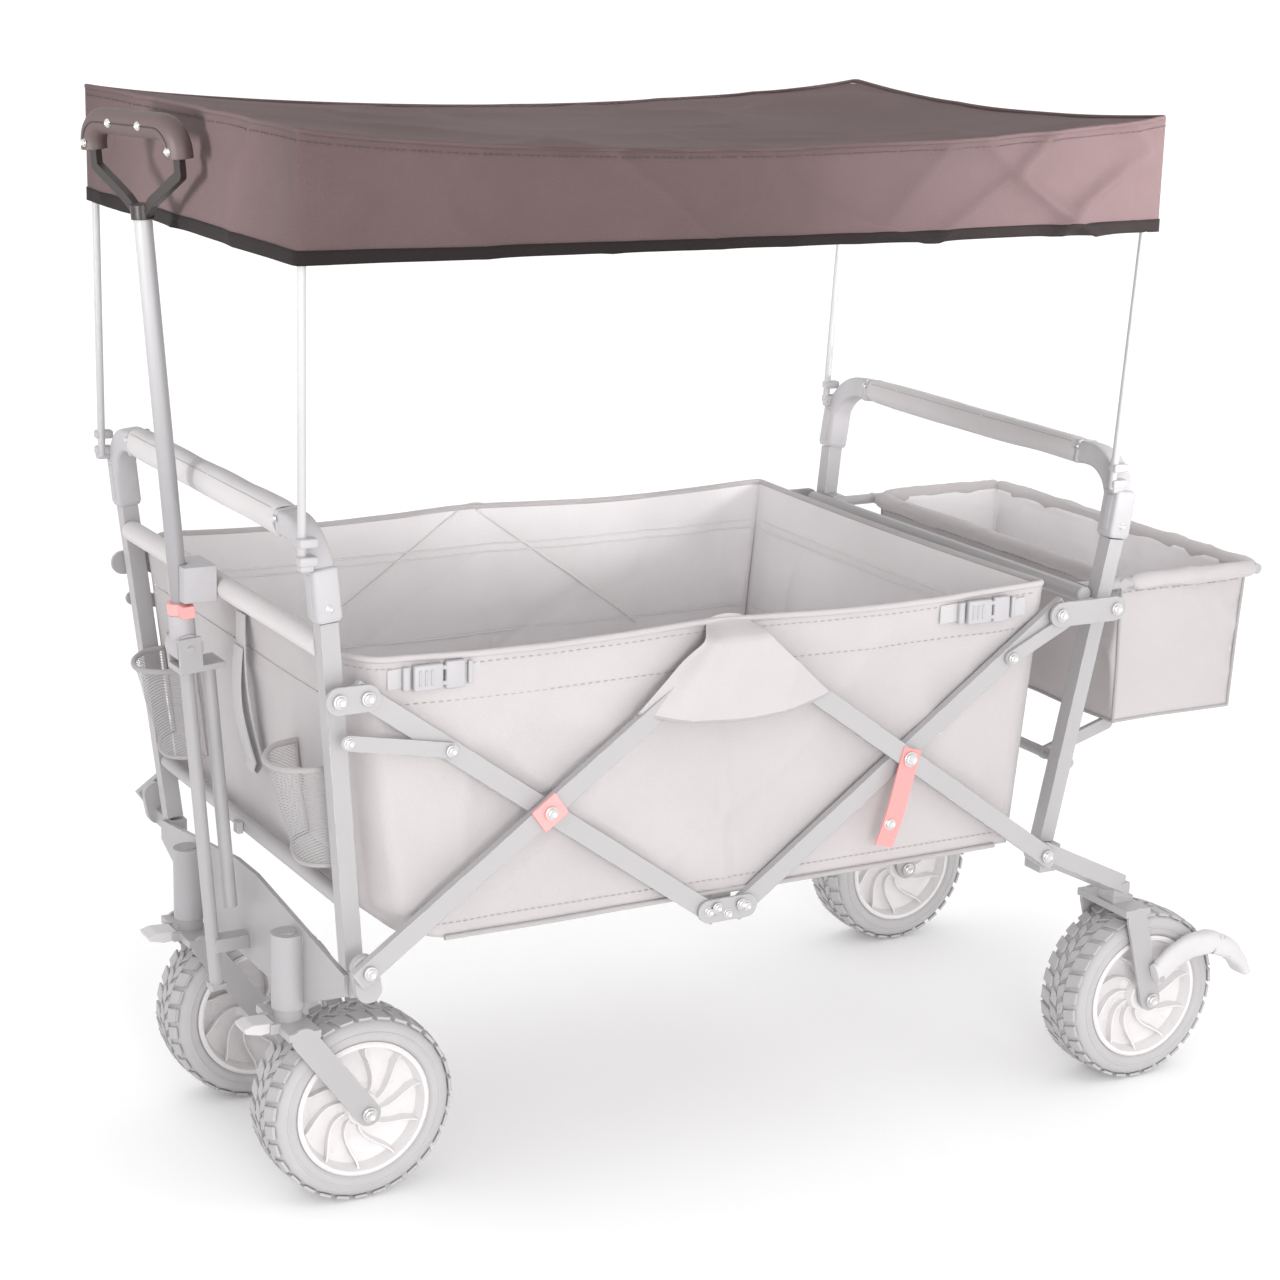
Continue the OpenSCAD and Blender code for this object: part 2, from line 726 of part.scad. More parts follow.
// curved foot lever of a rear brake
module rear_pedal() {
    y0 = rear_track / 2 + fork_y + fork_t + 1;
    knee = rear_pedal_p + [70, 30];
    tip = rear_pedal_p + [112, 0];
    color(steel) place() difference() {
        side(y0, y0 + 13) {
            strip(rear_pedal_p, knee, 18);
            strip(knee, tip, 18);
        }
        pin(rear_pedal_p, y0 - 1, y0 + 20, pin_r + run_fit);
    }
}

module rear_pedal_near() { mirror([0, 1, 0]) rear_pedal(); }
module rear_pedal_far() { rear_pedal(); }

module rear_upper_rail() {
    x = post_x(rear_top, rear_foot, rear_rail_z) - post_w / 2 / cos(rear_lean) - rear_rail_r - 4;
    color(steel) place() cross_bar(x, rear_rail_z, post_top_y - 6, rear_rail_r + 3, tube_wall);
}

// ---- fabric ----

// side outline of the basket, drawn smaller by t
module basket_side(t) {
    up = t > 0 ? 10 : 0;
    slant = (basket_front[1] - basket_front[0]) / (rim_z - knee_z);
    polygon([
        [basket_front[0] + t - slant * up, rim_z + up], [basket_front[1] + t, knee_z],
        [basket_front[1] + knee_run + t, basket_base + t], [basket_rear[1] - t, basket_base + t],
        [basket_rear[0] - t, rim_z + up]
    ]);
}

// plan outline of the basket, with its front corners cut back behind the posts
module basket_plan(t) {
    y = basket_y - t;
    narrow = post_foot_y - t;
    x0 = basket_front[0] - 20;
    x1 = basket_front[0] + 22 + t;
    polygon([
        [x0, -narrow], [basket_front[0] + 6 + t, -narrow], [x1 + 12, -y], [rear_x, -y],
        [rear_x, y], [x1 + 12, y], [basket_front[0] + 6 + t, narrow], [x0, narrow]
    ]);
}

module basket_body(t) {
    intersection() {
        side(-basket_y - 1, basket_y + 1) basket_side(t);
        translate([0, 0, basket_base - 5]) linear_extrude(400) basket_plan(t);
    }
}

// the basket and the flap that covers the upper middle bracket on each side
module basket() {
    mid = rear_x / 2;
    color(cloth) place() {
        difference() { basket_body(0); basket_body(fabric_t); }
        both() {
            side(skin_y + head_t + 1, skin_y + head_t + 3) polygon([
                [mid - 86, rim_z - 74], [mid - 6, rim_z + 2], [mid + 6, rim_z + 2],
                [mid + 108, rim_z - 82], [mid + 28, rim_z - 96]
            ]);
            translate([mid - 6, basket_y - fabric_t, rim_z])
                cube([12, skin_y + head_t + 3 - basket_y + fabric_t, 2]);
        }
    }
}

module floor_mat() {
    color(cloth) place() translate([
        basket_front[1] + knee_run + mat_gap, -mat_y, basket_base + fabric_t + seat_gap
    ]) cube([
        basket_rear[1] - basket_front[1] - knee_run - 2.5 * mat_gap, 2 * mat_y, mat_t
    ]);
}

// open mesh pockets on the front wall
pocket_z = [376, 486];
pocket_y = [139, 238];
pocket_depth = [32, 50];
pocket_t = 2;
function wall_x(z) = basket_front[1]
    + (basket_front[0] - basket_front[1]) * (z - knee_z) / (rim_z - knee_z) - seat_gap;

module pocket_side(t) {
    up = t > 0 ? 10 : 0;
    polygon([
        [wall_x(pocket_z[0]) - pocket_depth[0] + t, pocket_z[0] + t],
        [wall_x(pocket_z[1]) - pocket_depth[1] + t, pocket_z[1] + up],
        [wall_x(pocket_z[1]) - t, pocket_z[1] + up], [wall_x(pocket_z[0]) - t, pocket_z[0] + t]
    ]);
}

module front_pockets() {
    color(cloth) place() both() difference() {
        side(pocket_y[0], pocket_y[1]) pocket_side(0);
        side(pocket_y[0] + pocket_t, pocket_y[1] - pocket_t) pocket_side(pocket_t);
    }
}

// webbing with a side-release buckle near each end of both side walls
module side_buckles() {
    y0 = basket_y + seat_gap;
    color(plastic) place() both() for (x = [[26, 120], [rear_x - 140, rear_x - 34]]) {
        side(y0, y0 + 2) translate([x[0], 571]) square([x[1] - x[0], 18]);
        side(y0 + 2, y0 + 10) translate([x[0] + 20, 567]) square([x[1] - x[0] - 40, 26]);
    }
}

// carrying loop of webbing on the front wall
module front_strap() {
    color(plastic) place() translate([0, -46, 0]) side(0, 22) polygon([
        [wall_x(430) - 2, 430], [wall_x(590) - 2, 590], [wall_x(590), 590], [wall_x(430), 430]
    ]);
}

module canopy() {
    color(canopy_cloth) place() difference() {
        translate([canopy_x[0], -canopy_y, roof_z - valance_h])
            cube([canopy_x[1] - canopy_x[0], 2 * canopy_y, valance_h]);
        translate([canopy_x[0] + canopy_t, -canopy_y + canopy_t, roof_z - valance_h - 1])
            cube([canopy_x[1] - canopy_x[0] - 2 * canopy_t, 2 * (canopy_y - canopy_t),
                valance_h + 1 - canopy_t]);
    }
}

// a canopy pole stands on the face of an elbow and ends in a corner of the canopy
module pole(foot_x, top_x) {
    both() round_tube([foot_x, post_top_y + 5, push_bar_z - 26],
        [top_x, canopy_y - canopy_t - pole_r - seat_gap, roof_z - canopy_t - 1], pole_r, 0);
}

pole_off = elbow_w / 2 + pole_r + 1;
module front_poles() {
    color(steel) place() pole(front_bar_x - pole_off, canopy_x[0] + canopy_t + pole_r + 1);
}
module rear_poles() {
    color(steel) place() pole(rear_bar_x - pole_off - 3, canopy_x[1] - canopy_t - pole_r - 1);
}

// ---- rear basket ----

// hollow of the rear basket's fabric, drawn smaller by t
module rear_basket() {
    top = rear_rail_z + 2;
    size = [rear_basket_l, 2 * (rear_basket_y - seat_gap), rear_basket_h];
    color(cloth) place() translate([rear_basket_x, -size.y / 2, top - size.z]) difference() {
        cube(size);
        translate([fabric_t, fabric_t, fabric_t]) cube(size - [2, 2, 0] * fabric_t);
    }
}

// tube loop that the rear basket hangs in, with an arm to each rear post
module rear_basket_frame() {
    y = rear_basket_y + rear_rail_r;
    x0 = rear_basket_x - seat_gap - rear_rail_r;
    x1 = rear_basket_x + rear_basket_l + seat_gap + rear_rail_r;
    post = post_x(rear_top, rear_foot, rear_rail_z);
    post_in = post_y(rear_top, rear_foot, rear_rail_z) - post_w / 2;
    color(steel) place() {
        for (x = [x0, x1]) cross_bar(x, rear_rail_z, y + rear_rail_r, rear_rail_r, 0);
        both() {
            round_tube([post - 8, y, rear_rail_z], [x1, y, rear_rail_z], rear_rail_r, 0);
            translate([post - 8, y, rear_rail_z - 7]) cube([16, post_in - y - rail_gap, 14]);
        }
    }
}

// struts from the posts to the underside of the rear basket
module rear_basket_struts() {
    under = rear_rail_z + 2 - rear_basket_h;
    low_z = 384;
    bar_r = 6;
    post = post_x(rear_top, rear_foot, low_z) + post_w / 2 + bar_r + 1.2;
    y = rear_basket_y - 30;
    strut_w = 14;
    color(steel) place() {
        both() side(y, y + bar_r)
            strip([post, low_z], [rear_basket_x + strut_w, under - strut_w / 2 - seat_gap], strut_w);
        cross_bar(post, low_z, post_y(rear_top, rear_foot, low_z) - 2, bar_r, 0);
    }
}

front_posts();
front_elbows();
front_push_bar();
front_grip_pad();
front_upper_rail();
front_lower_rail();
front_feet();
caster_beam();
handle_column();
latch_block();
front_poles();
basket();
floor_mat();
front_pockets();
side_buckles();
front_strap();
canopy();
scissor_a();
scissor_b();
scissor_c();
scissor_d();
pivot_plates();
fold_strap();
top_brackets();
base_brackets();
front_slide_brackets();
rear_slide_brackets();
front_links();
rear_links();
rear_posts();
rear_elbows();
rear_push_bar();
rear_grip_wrap();
rear_upper_rail();
rear_legs();
rear_forks();
rear_basket_frame();
rear_basket();
rear_basket_struts();
rear_poles();
tyre_front_near();
hub_front_near();
tyre_front_far();
hub_front_far();
tyre_rear_near();
hub_rear_near();
tyre_rear_far();
hub_rear_far();
caster_fork_near();
caster_fork_far();
caster_pedal_near();
caster_pedal_far();
rear_pedal_near();
rear_pedal_far();
handle_joint();
handle_tube();
handle_yoke();
handle_grip();
handle_latch();
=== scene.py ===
"""Looks of a folding pull wagon, built around its fixed frame."""

import math

import bmesh
import bpy
from mathutils import Matrix, Vector, noise


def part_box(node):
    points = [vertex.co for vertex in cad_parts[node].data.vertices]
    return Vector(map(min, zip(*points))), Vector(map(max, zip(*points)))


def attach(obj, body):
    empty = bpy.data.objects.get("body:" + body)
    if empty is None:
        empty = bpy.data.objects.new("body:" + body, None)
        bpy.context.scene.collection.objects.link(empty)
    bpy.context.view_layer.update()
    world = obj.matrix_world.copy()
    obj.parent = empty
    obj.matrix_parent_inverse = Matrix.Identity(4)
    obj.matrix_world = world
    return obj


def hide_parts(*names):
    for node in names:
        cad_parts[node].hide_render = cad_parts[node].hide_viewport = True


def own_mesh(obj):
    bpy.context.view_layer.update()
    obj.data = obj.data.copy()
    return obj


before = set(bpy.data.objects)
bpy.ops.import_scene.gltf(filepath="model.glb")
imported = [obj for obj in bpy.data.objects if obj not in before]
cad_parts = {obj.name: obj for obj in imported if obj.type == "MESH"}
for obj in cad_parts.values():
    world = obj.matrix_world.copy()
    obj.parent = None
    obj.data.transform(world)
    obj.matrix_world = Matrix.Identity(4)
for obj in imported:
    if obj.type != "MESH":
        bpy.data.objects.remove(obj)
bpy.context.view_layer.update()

# Sizes are in millimetres from the front scissor pivots, as the frame's maker reckons them.
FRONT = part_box("caster_beam")[0].x + 0.032
PLACE = Matrix.Translation((FRONT, 0, 0)) @ Matrix.Scale(0.001, 4)
LOW, MID, HIGH = 304, 437, 570  # heights of the scissor's pivots
REACH, GAP = 186, 44  # from foot to crossing, and between the two scissors
REAR = 4 * REACH + GAP
CENTRE = REAR / 2
BASE_PINS = (372, 416)
INNER_LAYER, OUTER_LAYER, SKIN = 287.5, 297.5, 306.5
AXLE_Z, FRONT_AXLE, REAR_AXLE = 100, 53, REAR + 178
FRONT_TRACK, REAR_TRACK, AXLE_END = 140, 242, 47
SIDES = (("near", -1), ("far", 1))
UP, ACROSS, AHEAD = Vector((0, 0, 1)), Vector((0, 1, 0)), Vector((1, 0, 0))


def added(name, data):
    made = bpy.data.objects.new(name, data)
    bpy.context.scene.collection.objects.link(made)
    return made


# ---------------------------------------------------------------- camera
def put_camera():
    yaw, pitch, roll = (math.radians(a) for a in (29.48, 14.78, 1.55))
    level = math.cos(pitch)
    ahead = Vector((math.sin(yaw) * level, math.cos(yaw) * level, -math.sin(pitch)))
    right = Vector((math.cos(yaw), -math.sin(yaw), 0))
    top = right.cross(ahead)
    right, top = (right * math.cos(roll) + top * math.sin(roll),
                  top * math.cos(roll) - right * math.sin(roll))
    data = bpy.data.cameras.new("camera")
    data.lens, data.sensor_width, data.clip_start = 77.68, 36, 0.05
    camera = added("camera", data)
    turn = Matrix((right, top, -ahead)).transposed().to_4x4()
    camera.matrix_world = Matrix.Translation((-1.46436, -2.5325, 1.2717)) @ turn
    bpy.context.scene.camera = camera


put_camera()


# ---------------------------------------------------------------- finishes
class Wire:
    """A shader value that plain arithmetic works on."""

    def __init__(self, mixer, socket):
        self.mixer, self.socket = mixer, socket

    def reckon(self, how, other=0.0, swapped=False):
        pair = (other, self) if swapped else (self, other)
        return self.mixer.node("Math", {"operation": how}, {0: pair[0], 1: pair[1]})

    def __add__(self, other): return self.reckon("ADD", other)
    def __radd__(self, other): return self.reckon("ADD", other)
    def __sub__(self, other): return self.reckon("SUBTRACT", other)
    def __rsub__(self, other): return self.reckon("SUBTRACT", other, True)
    def __mul__(self, other): return self.reckon("MULTIPLY", other)
    def __rmul__(self, other): return self.reckon("MULTIPLY", other)
    def __truediv__(self, other): return self.reckon("DIVIDE", other)
    def __pow__(self, other): return self.reckon("POWER", other)
    def __gt__(self, other): return self.reckon("GREATER_THAN", other)
    def __lt__(self, other): return self.reckon("LESS_THAN", other)
    def __abs__(self): return self.reckon("ABSOLUTE")
    def sine(self): return self.reckon("SINE")
    def most(self, other): return self.reckon("MAXIMUM", other)
    def least(self, other): return self.reckon("MINIMUM", other)
    def kept(self): return self.most(0.0).least(1.0)


class Mixer:
    """The nodes of one finish, around its one shader."""

    def __init__(self, name, fixed):
        self.material = bpy.data.materials.new(name)
        self.material.use_nodes = True
        self.tree = self.material.node_tree
        self.shader = self.tree.nodes["Principled BSDF"]
        for socket, value in fixed.items():
            self.shader.inputs[socket].default_value = value
        self.material.diffuse_color = (0.7, 0.7, 0.7, 1)

    def feed(self, socket, value):
        if isinstance(value, Wire):
            self.tree.links.new(value.socket, socket)
        else:
            plain = hasattr(value, "__len__") and len(value) == 3 and socket.type == "RGBA"
            socket.default_value = (*value, 1) if plain else value

    def node(self, kind, settings=None, sockets=None, out=0):
        made = self.tree.nodes.new("ShaderNode" + kind)
        for key, value in (settings or {}).items():
            setattr(made, key, value)
        for key, value in (sockets or {}).items():
            self.feed(made.inputs[key], value)
        return Wire(self, made.outputs[out])

    def paint(self, socket, value):
        self.feed(self.shader.inputs[socket], value)

    def blend(self, share, first, second):
        return self.node("Mix", {"data_type": "RGBA"}, {0: share, 6: first, 7: second}, 2)

    def spot(self):
        return self.node("TexCoord", out="Object")

    def laid(self):
        return self.node("UVMap", {"uv_map": "cloth"})

    def parts(self, vector):
        made = self.tree.nodes.new("ShaderNodeSeparateXYZ")
        self.feed(made.inputs[0], vector)
        return [Wire(self, made.outputs[i]) for i in range(3)]

    def cloud(self, where, scale, detail=3.0, rough=0.5):
        sockets = {"Vector": where, "Scale": scale, "Detail": detail, "Roughness": rough}
        return self.node("TexNoise", None, sockets)

    def relief(self, height, distance, strength=1.0, under=None):
        sockets = {"Height": height, "Distance": distance, "Strength": strength}
        if under is not None:
            sockets["Normal"] = under
        return self.node("Bump", None, sockets)


def darker(colour, share):
    return tuple(c * share for c in colour)


def paler(colour, share):
    return tuple(min(1, c * share) for c in colour)


def woven(name, colour, pitch=0.0011, depth=0.00022, sheen=0.2, on_cloth=True,
          mottle=0.10, rough=0.86):
    """Plain-woven coated cloth, its threads lying along the piece."""
    mix = Mixer(name, {"Roughness": rough, "Sheen Weight": sheen, "Sheen Roughness": 0.45,
                       "Specular IOR Level": 0.25})
    where = mix.laid() if on_cloth else mix.spot()
    across, along, third = mix.parts(where)
    if not on_cloth:
        along = along + third
    u, v = across * (math.pi / pitch), along * (math.pi / pitch)
    over = u.sine() * v.sine() > 0
    threads = abs(u.sine()) * over + abs(v.sine()) * (1 - over)
    slubs = mix.cloud(where, 420, 2)
    patches = mix.cloud(mix.spot(), 7, 4, 0.6)
    shade = (threads * 0.35 + slubs * 0.4 + patches * 0.9 - 0.45).kept()
    mix.paint("Base Color", mix.blend(shade, darker(colour, 1 - mottle), paler(colour, 1 + mottle)))
    creases = mix.cloud(mix.spot(), 26, 5, 0.55)
    fine = mix.relief(threads, depth, 0.8)
    mix.paint("Normal", mix.relief(creases, 0.0016, 0.55, fine))
    return mix.material


def enamelled(name, colour, bare, rough=0.42, wear=1.0):
    """Powder-coated steel, rubbed a little along its edges."""
    mix = Mixer(name, {"Coat Weight": 0.15, "Coat Roughness": 0.25, "Specular IOR Level": 0.5})
    where = mix.spot()
    eased = mix.node("Bevel", {"samples": 4}, {"Radius": 0.0012})
    true = mix.node("NewGeometry", out="True Normal")
    facing = mix.node("VectorMath", {"operation": "DOT_PRODUCT"}, {0: eased, 1: true}, "Value")
    scuffs = mix.cloud(where, 60, 5, 0.65)
    worn = (((1 - facing) * 5.0).kept() * ((scuffs - 0.42) * 5).kept() * wear).kept()
    dust = mix.cloud(where, 9, 4)
    base = mix.blend(dust, darker(colour, 0.93), paler(colour, 1.05))
    mix.paint("Base Color", mix.blend(worn, base, bare))
    mix.paint("Roughness", (scuffs * 0.18 + (rough - 0.09) - worn * 0.1).kept())
    mix.paint("Normal", mix.relief(mix.cloud(where, 950, 2), 0.0001, 0.35, eased))
    return mix.material


def moulded(name, colour, rough=0.5, grain=0.00012, gloss=0.5, edge=0.0014):
    """Injection-moulded plastic with a fine spark grain."""
    mix = Mixer(name, {"Specular IOR Level": gloss})
    where = mix.spot()
    eased = mix.node("Bevel", {"samples": 4}, {"Radius": edge})
    rubbed = mix.cloud(where, 45, 4, 0.6)
    mix.paint("Base Color", mix.blend(rubbed, darker(colour, 0.92), paler(colour, 1.06)))
    mix.paint("Roughness", (rubbed * 0.2 + (rough - 0.1)).kept())
    mix.paint("Normal", mix.relief(mix.cloud(where, 1400, 1), grain, 0.5, eased))
    return mix.material


def ribbed(name, colour, pitch=0.0016):
    """Woven webbing with ribs across it."""
    mix = Mixer(name, {"Roughness": 0.8, "Sheen Weight": 0.2, "Specular IOR Level": 0.3})
    across, along, _ = mix.parts(mix.laid())
    ribs = abs((along * (math.pi / pitch)).sine())
    cords = abs((across * (math.pi / (pitch * 1.7))).sine())
    fuzz = mix.cloud(mix.laid(), 700, 2)
    mix.paint("Base Color", mix.blend((ribs * 0.5 + fuzz * 0.5).kept(), darker(colour, 0.86), colour))
    mix.paint("Normal", mix.relief(ribs * 0.6 + cords * 0.4, 0.0004, 0.8))
    return mix.material


def netting(name, colour, pitch=0.0052):
    """Open net with six-sided holes."""
    mix = Mixer(name, {"Roughness": 0.8, "Specular IOR Level": 0.25})
    across, along, _ = mix.parts(mix.laid())
    u, v = across * (2 * math.pi / pitch), along * (2 * math.pi / pitch)
    half, lift = u * 0.5, v * 0.866
    holes = (half + lift).sine() * (half - lift).sine()
    mix.paint("Alpha", abs(holes) < 0.33)
    mix.paint("Base Color", mix.blend(mix.cloud(mix.laid(), 300), darker(colour, 0.8), colour))
    return mix.material


def tyre_finish(name, colour):
    """Moulded tread rubber, its tone and dullness varying in patches."""
    mix = Mixer(name, {"Specular IOR Level": 0.35})
    where = mix.spot()
    dust = mix.cloud(where, 22, 5, 0.65)
    speck = mix.cloud(where, 700, 2)
    shade = (dust * 0.8 + speck * 0.3 - 0.05).kept()
    mix.paint("Base Color", mix.blend(shade, darker(colour, 0.88), paler(colour, 1.08)))
    mix.paint("Roughness", (dust * 0.25 + 0.55).kept())
    mix.paint("Normal", mix.relief(speck, 0.0002, 0.4))
    return mix.material


def plated(name, colour=(0.78, 0.77, 0.76), rough=0.28):
    """Zinc-plated steel."""
    mix = Mixer(name, {"Metallic": 1.0})
    where = mix.spot()
    haze = mix.cloud(where, 240, 4)
    mix.paint("Base Color", mix.blend(haze, darker(colour, 0.8), colour))
    mix.paint("Roughness", (haze * 0.25 + rough - 0.1).kept())
    mix.paint("Normal", mix.relief(mix.cloud(where, 1500, 1), 0.00008, 0.3))
    return mix.material


BARE_STEEL = (0.82, 0.81, 0.81)
FRAME_GREY = (0.430, 0.418, 0.427)
PALE_CLOTH = (0.580, 0.545, 0.550)
PLUM = (0.128, 0.085, 0.087)
frame_enamel = enamelled("frame_enamel", FRAME_GREY, BARE_STEEL)
pole_enamel = enamelled("pole_enamel", (0.50, 0.49, 0.495), BARE_STEEL)
handle_enamel = enamelled("handle_tube_grey", (0.32, 0.312, 0.32), BARE_STEEL)
dark_enamel = moulded("handle_grip_black", (0.020, 0.014, 0.014), 0.38, 0.00008)
grip_rubber = moulded("grip_rubber", (0.075, 0.050, 0.048), 0.55, 0.0002)
black_nylon = moulded("moulded_black", (0.48, 0.465, 0.48), 0.48)
pedal_plastic = moulded("pedal_grey", (0.64, 0.625, 0.635), 0.42)
basket_cloth = woven("basket_cloth", PALE_CLOTH)
# A much paler copy of the basket cloth for the inside faces, the floor pad and the inside seams: painted light,
# standing in for the light that the shaded inside lacks.
painted_light_inner_cloth = woven("basket_lining", (0.93, 0.895, 0.90))
canopy_cloth = woven("canopy_cloth", PLUM, 0.0013, 0.0003, 0.03, mottle=0.2, rough=0.8)
binding_tape = woven("canopy_binding", (0.016, 0.011, 0.011), 0.0018, 0.0003, 0.02)
basket_tape = woven("basket_binding", darker(PALE_CLOTH, 0.82), pitch=0.0018, depth=0.0003)
pad_cloth = woven("grip_pad", (0.64, 0.615, 0.62), pitch=0.0014, depth=0.0003)
rail_cloth = woven("rail_cloth", (0.70, 0.665, 0.67), on_cloth=False)
pocket_net = netting("mesh_cloth", (0.56, 0.545, 0.55))
webbing = ribbed("webbing", (0.58, 0.565, 0.575))
red_webbing = ribbed("red_webbing", (0.90, 0.36, 0.35))
red_plastic = moulded("red_plastic", (0.90, 0.39, 0.38), 0.35, 0.00005)
rubber = tyre_finish("tyre_rubber", (0.500, 0.488, 0.493))
hub_plastic = moulded("hub_white", (0.78, 0.755, 0.757), 0.3, 0.00003, 0.5, 0.0008)
zinc = plated("zinc")
thread = woven("thread", darker(PALE_CLOTH, 0.75), pitch=0.002)
dark_thread = woven("dark_thread", darker(PLUM, 0.6), pitch=0.002)


# ---------------------------------------------------------------- shapes
def gathered(shapes):
    """One shape out of several."""
    whole, carrier = bmesh.new(), bpy.data.meshes.new("carrier")
    for shape in shapes:
        shape.to_mesh(carrier)
        shape.free()
        whole.from_mesh(carrier)
    bpy.data.meshes.remove(carrier)
    return whole


def moved(shape, matrix):
    bmesh.ops.transform(shape, matrix=matrix, verts=shape.verts)
    return shape


def twinned(shape):
    """The shape and its mirror image across the wagon's middle plane."""
    whole = shape.verts[:] + shape.edges[:] + shape.faces[:]
    copy = bmesh.ops.duplicate(shape, geom=whole)["geom"]
    bmesh.ops.scale(shape, vec=(1, -1, 1), verts=[g for g in copy if isinstance(g, bmesh.types.BMVert)])
    bmesh.ops.reverse_faces(shape, faces=[g for g in copy if isinstance(g, bmesh.types.BMFace)])
    return shape


def soften(shape, edges, ease, steps, **extra):
    bmesh.ops.bevel(shape, geom=edges, offset=ease, segments=steps, profile=0.5, affect="EDGES",
                    material=-1, **extra)
    return shape


def block(low, high, ease=1.0, steps=2):
    """A box with eased edges between two corners."""
    low, high = Vector(low), Vector(high)
    shape = bmesh.new()
    stretch = Matrix.Diagonal((*(high - low), 1))
    bmesh.ops.create_cube(shape, size=1, matrix=Matrix.Translation((low + high) / 2) @ stretch)
    return soften(shape, shape.edges[:], ease, steps)


def drum(at, out, radius, height, ease=0.8, sides=24, hollow=0.0):
    """A short cylinder that stands on a point, its free rim eased and its face recessed by hollow."""
    shape = bmesh.new()
    bmesh.ops.create_cone(shape, cap_ends=True, segments=sides, radius1=radius, radius2=radius,
                          depth=height)
    soften(shape, [e for e in shape.edges if all(v.co.z > 0 for v in e.verts)], ease, 3)
    if hollow:
        face = max(shape.faces, key=lambda f: f.calc_center_median().z)
        bmesh.ops.inset_region(shape, faces=[face], thickness=radius * 0.42)
        bmesh.ops.translate(shape, vec=(0, 0, -hollow), verts=face.verts)
    out = Vector(out).normalized()
    turn = UP.rotation_difference(out).to_matrix().to_4x4()
    return moved(shape, Matrix.Translation(Vector(at) + out * height / 2) @ turn)


def bolt(at, out, radius=5.5, height=3.0):
    """A domed screw head with a socket, on a thin washer."""
    out = Vector(out).normalized()
    washer = drum(at, out, radius * 1.25, 0.8, 0.3)
    head = drum(Vector(at) + out * 0.7, out, radius, height, height * 0.6, 24, height * 0.5)
    return gathered([washer, head])


def grid(columns, rows, place):
    """A sheet whose points are placed by their shares, from 0 to 1, of its two directions."""
    shape = bmesh.new()
    bmesh.ops.create_grid(shape, x_segments=columns, y_segments=rows, size=1)
    for v in shape.verts:
        v.co = place((v.co.x + 1) / 2, (v.co.y + 1) / 2)
    return shape


def thick(shape, thickness):
    bmesh.ops.recalc_face_normals(shape, faces=shape.faces)
    bmesh.ops.solidify(shape, geom=shape.faces[:], thickness=thickness)
    return shape


def sealed(shape):
    """A grid rolled into a tube, closed along its seam and at its ends."""
    bmesh.ops.remove_doubles(shape, verts=shape.verts, dist=0.05)
    ends = [e for e in shape.edges if len(e.link_faces) == 1]
    bmesh.ops.holes_fill(shape, edges=ends, sides=60)
    bmesh.ops.recalc_face_normals(shape, faces=shape.faces)
    return shape


def case(columns, deep, high, place, open_top=True, open_bottom=False, below=2.0):
    """A cube cut into a grid on each side, without the faces above a share of its height.

    Its points are placed from their shares, from -1 to 1, of each direction.
    """
    shape = bmesh.new()
    bmesh.ops.create_cube(shape, size=2)
    opened = [f for f in shape.faces
              if (open_top and f.normal.z > 0.5) or (open_bottom and f.normal.z < -0.5)]
    bmesh.ops.delete(shape, geom=opened, context="FACES_ONLY")
    bare = [e for e in shape.edges if not e.link_faces]
    bmesh.ops.delete(shape, geom=bare, context="EDGES")
    for axis, count in enumerate((columns, deep, high)):
        along = [e for e in shape.edges
                 if abs((e.verts[0].co - e.verts[1].co).normalized()[axis]) > 0.9]
        bmesh.ops.subdivide_edges(shape, edges=along, cuts=count - 1, use_grid_fill=True)
    above = [f for f in shape.faces if f.calc_center_median().z > below]
    bmesh.ops.delete(shape, geom=above, context="FACES")
    for v in shape.verts:
        v.co = place(*v.co)
    return shape


def ring(profile, steps=96, closed=True):
    """A profile of (radius, y) points turned about the y axis."""
    shape = bmesh.new()
    verts = [shape.verts.new((r, y, 0)) for r, y in profile]
    pairs = list(zip(verts, verts[1:])) + ([(verts[-1], verts[0])] if closed else [])
    edges = [shape.edges.new(p) for p in pairs]
    bmesh.ops.spin(shape, geom=verts + edges, cent=(0, 0, 0), axis=(0, 1, 0), angle=2 * math.pi,
                   steps=steps, use_merge=True)
    bmesh.ops.recalc_face_normals(shape, faces=shape.faces)
    return shape


def strand(points, radius, closed=False, sides=3):
    """A round strand on a smooth curve through points."""
    line = bpy.data.curves.new("strand", "CURVE")
    line.dimensions, line.bevel_depth, line.bevel_resolution = "3D", radius, sides
    line.use_fill_caps = not closed
    run = line.splines.new("NURBS")
    run.points.add(len(points) - 1)
    for point, spot in zip(run.points, points):
        point.co = (*spot, 1)
    run.order_u, run.resolution_u = 3, 4
    run.use_cyclic_u, run.use_endpoint_u = closed, not closed
    holder = bpy.data.objects.new("strand", line)
    mesh = bpy.data.meshes.new_from_object(holder)
    shape = bmesh.new()
    shape.from_mesh(mesh)
    bmesh.ops.remove_doubles(shape, verts=shape.verts, dist=0.001)
    bmesh.ops.recalc_face_normals(shape, faces=shape.faces)
    bpy.data.objects.remove(holder)
    bpy.data.curves.remove(line)
    bpy.data.meshes.remove(mesh)
    return shape


def stitches(points, length=4.0, gap=2.6, radius=0.55):
    """A line of separate stitches along points."""
    shapes, spare = [], 0.0
    for a, b in zip(points, points[1:]):
        run = (b - a).length
        ahead = (b - a).normalized()
        at = spare
        while at + length < run:
            turn = UP.rotation_difference(ahead).to_matrix().to_4x4()
            one = bmesh.new()
            bmesh.ops.create_cone(one, cap_ends=True, segments=5, radius1=radius, radius2=radius,
                                  depth=length)
            shapes.append(moved(one, Matrix.Translation(a + ahead * (at + length / 2)) @ turn))
            at += length + gap
        spare = at - run if at > run else 0.0
    return gathered(shapes)


